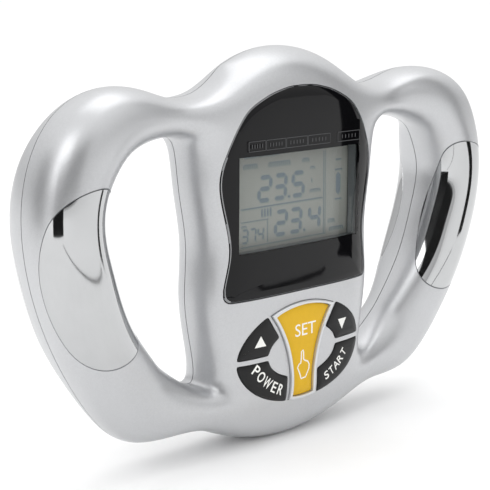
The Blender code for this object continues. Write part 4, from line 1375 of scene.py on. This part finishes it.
    def lay_on(self, made: Object, key: Object) -> Object:
        """Lays flat printing on a key, a little proud of it.

        Args:
            made: Printing whose vertices are at y = -1 in front and 1 behind, in metres.
            key: The key under it.

        Returns:
            The printing.
        """
        only(made)
        bpy.ops.object.mode_set(mode="EDIT")
        bpy.ops.mesh.select_all(action="SELECT")
        bpy.ops.mesh.quads_convert_to_tris()
        bpy.ops.mesh.subdivide(number_cuts=self.ink_cuts)
        bpy.ops.object.mode_set(mode="OBJECT")
        for vertex in made.data.vertices:
            start = Vector((vertex.co.x, -CAST_FROM * MM, vertex.co.z))
            found, place, _, _ = key.ray_cast(start, Vector((0.0, 1.0, 0.0)))
            if not found:
                raise ValueError(f"{made.name} hangs over the edge of {key.name}")
            vertex.co.y = place.y + (-self.ink_depth if vertex.co.y < 0 else self.ink_root) * MM
        return face_outwards(made, 1e-6)

    def lettering(self, text: str, centre: tuple[float, float], height: float, width: float,
                  turn: float = 0.0, heavy: float = 0.0) -> Object:
        """Plain capitals, facing the front.

        Args:
            text: The letters.
            centre: Their middle in front view.
            height: Height of a capital.
            width: Width over all.
            turn: How far they are turned anticlockwise, in degrees.
            heavy: How much the strokes are thickened.

        Returns:
            A flat mesh whose front is at y = -1 and back at y = 1.
        """
        select_nothing()
        bpy.ops.object.text_add()
        made = bpy.context.object
        made.data.body = text
        made.data.extrude = 0.1
        made.data.offset = heavy
        made.data.resolution_u = 4
        bpy.ops.object.convert(target="MESH")
        made = bpy.context.object
        points = [vertex.co.copy() for vertex in made.data.vertices]
        lows = [min(p[i] for p in points) for i in (0, 1)]
        highs = [max(p[i] for p in points) for i in (0, 1)]
        scale = [width / (highs[0] - lows[0]), height / (highs[1] - lows[1])]
        c, s = math.cos(math.radians(turn)), math.sin(math.radians(turn))
        for vertex, point in zip(made.data.vertices, points):
            u, v = ((point[i] - (lows[i] + highs[i]) / 2) * scale[i] for i in (0, 1))
            x, z = centre[0] + c * u - s * v, centre[1] + s * u + c * v
            vertex.co = (x * MM, -1.0 if point.z > 0 else 1.0, z * MM)
        return made

    def arrow(self, points: Sequence[tuple[float, float]]) -> Object:
        """A solid triangle."""
        return loft("arrow", [[Vector((x * MM, y, z * MM)) for x, z in points] for y in (1.0, -1.0)])

    def arc_word(self, key: Object, word: str, places: Sequence[tuple[float, float, float]],
                 height: float) -> Object:
        """A word whose letters follow the key's curve.

        Args:
            key: The key that it is printed on.
            word: The letters.
            places: Each letter's middle and how far it is turned.
            height: Height of a capital.

        Returns:
            The printing.
        """
        widths = {"W": 3.5, "O": 3.0, "P": 2.3, "R": 2.4, "A": 2.7}
        letters = []
        for letter, (x, z, turn) in zip(word, places):
            width = widths.get(letter, 2.1)
            letters.append(self.lay_on(self.lettering(letter, (x, z), height, width, turn, 0.012), key))
        return joined(f"{key.name}_print", letters)

    def hand(self) -> Object:
        """Outline of a pointing hand, as one stroke of even width."""
        path, width = self.hand_path, self.hand_half_width
        rings = []
        for reach, y in ((-width, 1.0), (width, 1.0), (width, -1.0), (-width, -1.0)):
            points = []
            for i, here in enumerate(path):
                ahead = Vector(path[(i + 1) % len(path)]) - Vector(path[i - 1])
                normal = Vector((-ahead.y, ahead.x)).normalized()
                x, z = here[0] + normal.x * reach, here[1] + normal.y * reach
                points.append(Vector((x * MM, y, z * MM)))
            rings.append(points)
        return loft("hand", rings, hollow=True)


# ---------------------------------------------------------------- batteries
@dataclass
class BatteryBay:
    """The bay in the back, its cover and the two cells."""

    skin: Skin
    half_width: float = 11.2
    low_z: float = 50.5
    high_z: float = 102.5
    floor_y: float = -3.0
    wall: float = 1.2
    rim: float = 4.3
    margin: float = 3.4
    cover_thickness: float = 1.6
    clearance: float = 0.2
    cell_x: float = 5.55
    cell_y: float = 2.6
    cell_radius: float = 5.25
    cell_length: float = 43.3
    nub_radius: float = 1.9
    nub_length: float = 1.2
    sleeve_lap: float = 1.1
    # Above the bay's lower end, with the left cell's nub up and the right one's down.
    cell_lift: tuple[float, float] = (6.3, 1.3)
    bay_cover: float = 0.9
    cover_rim_radius: float = 0.3
    cover_corner: float = 3.0
    slot_half_width: float = 1.9
    slot_y: tuple[float, float] = (-1.9, -0.7)
    rib_pitch: float = 2.4
    rib_half_width: float = 5.0
    arrow_points: tuple[tuple[float, float], ...] = ((-2.6, 91.0), (2.6, 91.0), (0.0, 86.6))

    def cover_outline(self, grow: float) -> Outline:
        """The cover in rear view."""
        return rounded_rectangle(self.half_width + self.margin + grow, self.low_z - self.margin - grow,
                                 self.high_z + self.margin + grow, max(self.cover_corner + grow, 0.3))

    def walls(self) -> Object:
        """The block that the bay is cut into."""
        rim = self.rim
        body = block("bay", (-self.half_width - rim, self.floor_y - self.wall, self.low_z - rim),
                     (self.half_width + rim, REACH, self.high_z + rim))
        return boolean(body, Cut.KEEP_SHARED, self.skin.offset("bay_limit", self.bay_cover))

    def openings(self) -> list[Object]:
        """The bay's hollow, the cover's seat and the slots for the contacts."""
        hollow = block("bay_hollow", (-self.half_width, self.floor_y, self.low_z),
                       (self.half_width, REACH, self.high_z))
        seat = prism("cover_seat", self.cover_outline(0.0), 0.0, REACH)
        boolean(seat, Cut.REMOVE, self.skin.offset("seat_floor", self.cover_thickness + GAP))
        half, (y_from, y_to) = self.slot_half_width, self.slot_y
        slots = [block("contact_slot", (x - half, y_from, self.low_z - self.rim - 1.0),
                       (x + half, y_to, self.low_z + 1.0)) for x in (-self.cell_x, self.cell_x)]
        return [hollow, seat, *slots]

    def build_cover(self) -> Object:
        """The cover, with a rounded rim, three ribs to push it by and an arrow."""
        base_y = self.skin.y_at(0.0, 75.0, 1) - self.cover_thickness
        steps = rim_steps(self.cover_rim_radius)
        cover = self.skin.domed("battery_lid", lambda grow: self.cover_outline(grow - self.clearance), 0.0,
                                steps + [(1.5, 0.0), (6.0, 0.0)], base_y, 1)
        top = self.skin.y_at(0.0, 98.0, 1)
        for i in range(3):
            z = self.high_z - 2.0 - self.rib_pitch * i
            boolean(cover, Cut.JOIN, block("rib", (-self.rib_half_width, top - 1.0, z),
                                           (self.rib_half_width, top + 0.55, z + 1.0), 0.3))
        boolean(cover, Cut.JOIN, prism("arrow", self.arrow_points, top - 0.5, top + 0.3))
        return smooth(cover)

    def build_cell(self, name: str, x: float, low: float, upright: bool) -> Object:
        """One cell: a rolled sleeve edge at each end, a nub and a flat foot."""
        r, nub, length = self.cell_radius, self.nub_radius, self.cell_length
        top = length + self.nub_length
        profile = [(r - 1.2, 0.35), (r - 1.0, 0.05), (r - 0.5, 0.0), (r - 0.12, 0.2), (r, 0.6),
                   (r, length - 0.6), (r - 0.12, length - 0.2), (r - 0.5, length), (r - 1.0, length - 0.08),
                   (nub + 0.4, length - 0.1), (nub, length), (nub, top - 0.25), (nub - 0.3, top)]
        if not upright:
            profile = [(radius, top - along) for radius, along in reversed(profile)]
        return smooth(turned(name, profile, (x, self.cell_y, low), "Z"))

    def dress_cell(self, cell: Object, sleeve: Material, metal: Material) -> Object:
        """Sleeve round the side and over the rolled edges, bare metal at the ends."""
        dress(cell, sleeve, metal)
        for face in cell.data.polygons:
            radial = math.hypot(abs(face.center.x / MM) - self.cell_x, face.center.y / MM - self.cell_y)
            face.material_index = int(radial < self.cell_radius - self.sleeve_lap)
        return cell


# ---------------------------------------------------------------- what stays as the CAD has it
@dataclass
class Internals:
    """CAD pieces whose shape is right: they only get their finishes."""

    palette: Palette

    def dress(self, nodes: dict[str, Object]) -> None:
        """Gives each carried-over node the finish of what it is.

        Args:
            nodes: The CAD nodes by name.
        """
        p = self.palette
        finishes = {"lcd_holder": p.holder, "lcd_connector": p.silicone, "main_board": p.board,
                    "chip_cover": p.epoxy, "buzzer": p.zinc, "keypad": p.silicone, "contact_link": p.nickel}
        for side in ("left", "right"):
            finishes |= {f"front_lead_{side}": p.red, f"rear_lead_{side}": p.black,
                         f"board_screw_{side}": p.zinc, f"battery_spring_{side}": p.nickel,
                         f"contact_plate_{side}": p.nickel}
        finishes |= {"battery_lead_red": p.red, "battery_lead_black": p.black}
        finishes |= {f"case_screw_{i}": p.zinc for i in range(1, 7)}
        for name, finish in finishes.items():
            nodes[name].data.materials.clear()
            nodes[name].data.materials.append(finish)
            log.info("%s keeps its shape, in %s", name, finish.name)


# ---------------------------------------------------------------- studio
@dataclass
class Studio:
    """A wide pale floor, soft boxes, dark cards and the camera."""

    eye: tuple[float, float, float] = (-303.0, -317.1, 154.7)
    tilt: tuple[float, float, float] = (78.6, 0.2, -42.5)
    lens: float = 95.5
    sensor: float = 36.0
    floor_half: float = 60.0

    def floor(self) -> Object:
        """One wide sheet of pale paper."""
        select_nothing()
        bpy.ops.mesh.primitive_plane_add(size=2.0)
        made = bpy.context.object
        made.name = "studio_floor"
        for vertex in made.data.vertices:
            vertex.co = Vector((self.floor_half * vertex.co.x, self.floor_half * vertex.co.y, 0.0))
        paper = bpy.data.materials.new("studio_paper")
        paper.use_nodes = True
        shader = paper.node_tree.nodes["Principled BSDF"]
        place = add_node(paper.node_tree, "TexCoord").outputs["Object"]
        grain = add_node(paper.node_tree, "TexNoise", {"Scale": 40.0}, {"Vector": place})
        spread = {6: linear("F6F6F6"), 7: linear("FCFCFC"), "data_type": "RGBA"}
        colour = add_node(paper.node_tree, "Mix", spread, {0: grain.outputs["Fac"]})
        paper.node_tree.links.new(colour.outputs[2], shader.inputs["Base Color"])
        shader.inputs["Roughness"].default_value = 0.9
        dress(made, paper)
        return made

    def world(self) -> None:
        """Pale surroundings: bright above, greyer towards the horizon."""
        world = bpy.data.worlds.new("studio")
        bpy.context.scene.world = world
        world.use_nodes = True
        tree = world.node_tree
        sky = tree.nodes["Background"]
        direction = add_node(tree, "TexCoord").outputs["Generated"]
        parts = add_node(tree, "SeparateXYZ", None, {0: direction})
        rise = add_node(tree, "MapRange", {"From Min": -0.05, "From Max": 0.6, "To Min": 0.6, "To Max": 1.15},
                        {"Value": parts.outputs["Z"]})
        path = add_node(tree, "LightPath")
        seen = add_node(tree, "Mix", {"data_type": "FLOAT", 3: 1.0},
                        {0: path.outputs["Is Camera Ray"], 2: rise.outputs["Result"]})
        sky.inputs["Color"].default_value = (1.0, 1.0, 1.0, 1.0)
        tree.links.new(seen.outputs[0], sky.inputs["Strength"])

    def light(self, name: str, place: Sequence[float], aim: Sequence[float], size: tuple[float, float],
              power: float) -> Object:
        """One soft box, aimed at a point, with sizes in metres."""
        lamp = bpy.data.lights.new(name, "AREA")
        lamp.shape = "RECTANGLE"
        lamp.size, lamp.size_y = size
        lamp.energy = power
        made = bpy.data.objects.new(name, lamp)
        bpy.context.scene.collection.objects.link(made)
        made.location = place
        made.rotation_euler = (Vector(aim) - Vector(place)).to_track_quat("-Z", "Y").to_euler()
        return made

    def card(self, name: str, place: Sequence[float], aim: Sequence[float], size: tuple[float, float],
             grey: str) -> Object:
        """A dark card out of the camera's sight, which the bright parts mirror."""
        select_nothing()
        bpy.ops.mesh.primitive_plane_add(size=1.0)
        made = bpy.context.object
        made.name = name
        turn = (Vector(aim) - Vector(place)).to_track_quat("Z", "Y")
        for vertex in made.data.vertices:
            vertex.co = Vector(place) + turn @ Vector((vertex.co.x * size[0], vertex.co.y * size[1], 0.0))
        felt = bpy.data.materials.new(f"{name}_felt")
        felt.use_nodes = True
        felt.node_tree.nodes["Principled BSDF"].inputs["Base Color"].default_value = linear(grey)
        felt.node_tree.nodes["Principled BSDF"].inputs["Roughness"].default_value = 1.0
        dress(made, felt)
        made.visible_camera = False
        made.visible_shadow = False
        made.visible_diffuse = False
        return made

    def camera(self) -> None:
        """The camera at the object's own angle."""
        lens = bpy.data.cameras.new("camera")
        lens.lens = self.lens
        lens.sensor_width = self.sensor
        lens.clip_start = 0.01
        made = bpy.data.objects.new("camera", lens)
        bpy.context.scene.collection.objects.link(made)
        made.location = Vector(self.eye) * MM
        made.rotation_euler = Euler([math.radians(a) for a in self.tilt])
        bpy.context.scene.camera = made

    def build(self) -> None:
        """Sets the whole studio up."""
        bpy.context.scene.view_settings.view_transform = "Standard"
        self.camera()
        self.world()
        self.floor()
        middle = (0.0, 0.0, 0.07)
        self.light("key_box", (-1.25, -0.3, 0.8), middle, (0.9, 0.9), 4.6)
        self.light("top_box", (0.3, 0.1, 1.3), middle, (1.2, 0.8), 3.5)
        self.card("left_card", (-0.55, 0.25, 0.12), middle, (0.22, 0.5), "101010")
        self.card("right_card", (0.182, -0.123, 0.15), middle, (0.045, 0.3), "0C0C0C")
        self.card("front_card", (-0.25, -0.37, 0.21), (0.0, 0.0, 0.21), (0.36, 0.22), "0A0A0A")
        self.card("front_left_card", (-0.417, -0.169, 0.15), (0.0, 0.0, 0.15), (0.24, 0.3), "0A0A0A")
        self.card("table_edge", (-0.05, -0.183, 0.002), (-0.05, 0.0, 0.002), (0.5, 0.003), "303030")


def main() -> None:
    """Builds the studio and every piece in order."""
    logging.basicConfig(level=logging.INFO, format="%(message)s")
    select_nothing()
    Studio().build()
    palette = Palette()
    skin = Skin()
    log.info("skin: %d faces", len(skin.surface.data.polygons))
    shells, plates, display = Shells(skin), ContactPlates(skin), Display(skin)
    keys, bay = Keys(skin), BatteryBay(skin)

    well, view = display.well()
    openings = [plates.recess(side, -1) for side in (-1, 1)] + [display.pocket()] + keys.openings()
    front = shells.build_front(openings, well, view)
    half_width, low, high = display.view
    well_box = (half_width + 0.5, low - 0.5, high + 0.5)
    shells.dress_shell(front, palette.silver, palette.bare, palette.well, well_box)
    place_piece(front, "casing", "silver_paint", "front_shell")
    log.info("front case: %d faces", len(front.data.polygons))
    rear = shells.build_rear(bay.walls(), bay.openings() + [plates.recess(side, 1) for side in (-1, 1)])
    shells.dress_shell(rear, palette.silver, palette.bare)
    place_piece(rear, "casing", "silver_paint", "rear_shell")
    log.info("rear case: %d faces", len(rear.data.polygons))

    for side, side_name in ((-1, "left"), (1, "right")):
        for facing, face_name in ((-1, "front"), (1, "rear")):
            plate = plates.build(f"{face_name}_contact_plate_{side_name}", side, facing)
            dress(plate, palette.chrome)
            place_piece(plate, "casing", "chrome_plate", f"{face_name}_electrode_{side_name}")
            log.info("%s: %d faces", plate.name, len(plate.data.polygons))

    window = display.dress_window(display.build_window(), palette.black_gloss, palette.clear, palette.edge)
    place_piece(window, "casing", "window_black", "display_window")
    place_piece(dress(display.build_cell(), palette.cell), "casing", "lcd_glass", "lcd_panel")
    reading = display.build_reading("display_segments", (0.0, -0.03, 0.0))
    place_piece(dress(reading, palette.segment), "casing", "lcd_glass")
    # A painted shadow: a faint darker copy of the reading, set down and to the right on the cell, for the
    # shadow that the segments throw.
    shadow = display.build_reading("display_shadow", (0.35, -0.01, -0.35))
    place_piece(dress(shadow, palette.ghost), "casing", "lcd_glass")
    place_piece(dress(display.build_captions(), palette.faint), "casing", "window_black")
    log.info("display: window, cell, reading and captions")

    prints = {
        "up": lambda key: keys.lay_on(keys.arrow(keys.up_arrow), key),
        "down": lambda key: keys.lay_on(keys.arrow(keys.down_arrow), key),
        "power": lambda key: keys.arc_word(key, "POWER", keys.power_letters, 3.7),
        "start": lambda key: keys.arc_word(key, "START", keys.start_letters, 3.2),
    }
    for name, upper, side in (("up", True, -1), ("down", True, 1), ("power", False, -1), ("start", False, 1)):
        key = dress(keys.build_key(f"{name}_button", upper, side), palette.key)
        place_piece(key, f"{name}_key", "key_black", f"{name}_key")
        marks = dress(prints[name](key), palette.ink)
        marks.name = f"{name}_button_print"
        place_piece(marks, f"{name}_key", "key_black")
        log.info("%s: %d faces", key.name, len(key.data.polygons))
    place_piece(dress(keys.build_frame(), palette.rim), "set_key", "key_rim_silver", "set_key_rim")
    cap = dress(keys.build_cap(), palette.yellow)
    place_piece(cap, "set_key", "key_yellow", "set_key_cap")
    word = keys.lay_on(keys.lettering("SET", (1.0, 39.3), 4.3, 9.8), cap)
    place_piece(dress(word, palette.ink), "set_key", "key_yellow")
    word.name = "middle_key_word"
    hand = keys.lay_on(keys.hand(), cap)
    hand.name = "middle_key_hand"
    place_piece(dress(hand, palette.ink), "set_key", "key_yellow")
    log.info("middle key: frame, cap, word and hand")

    place_piece(dress(bay.build_cover(), palette.silver), "battery_cover", "silver_paint", "battery_cover")
    for name, side, lift in zip(("left", "right"), (-1, 1), bay.cell_lift):
        cell = bay.build_cell(f"aaa_cell_{name}", side * bay.cell_x, bay.low_z + lift, side < 0)
        bay.dress_cell(cell, palette.sleeve, palette.nickel)
        place_piece(cell, "casing", "cell_sleeve", f"battery_{name}")
    Internals(palette).dress(frame["nodes"])
    for helper in (skin.surface, shells.cavity):
        bpy.data.objects.remove(helper)


if __name__ == "__main__":
    main()
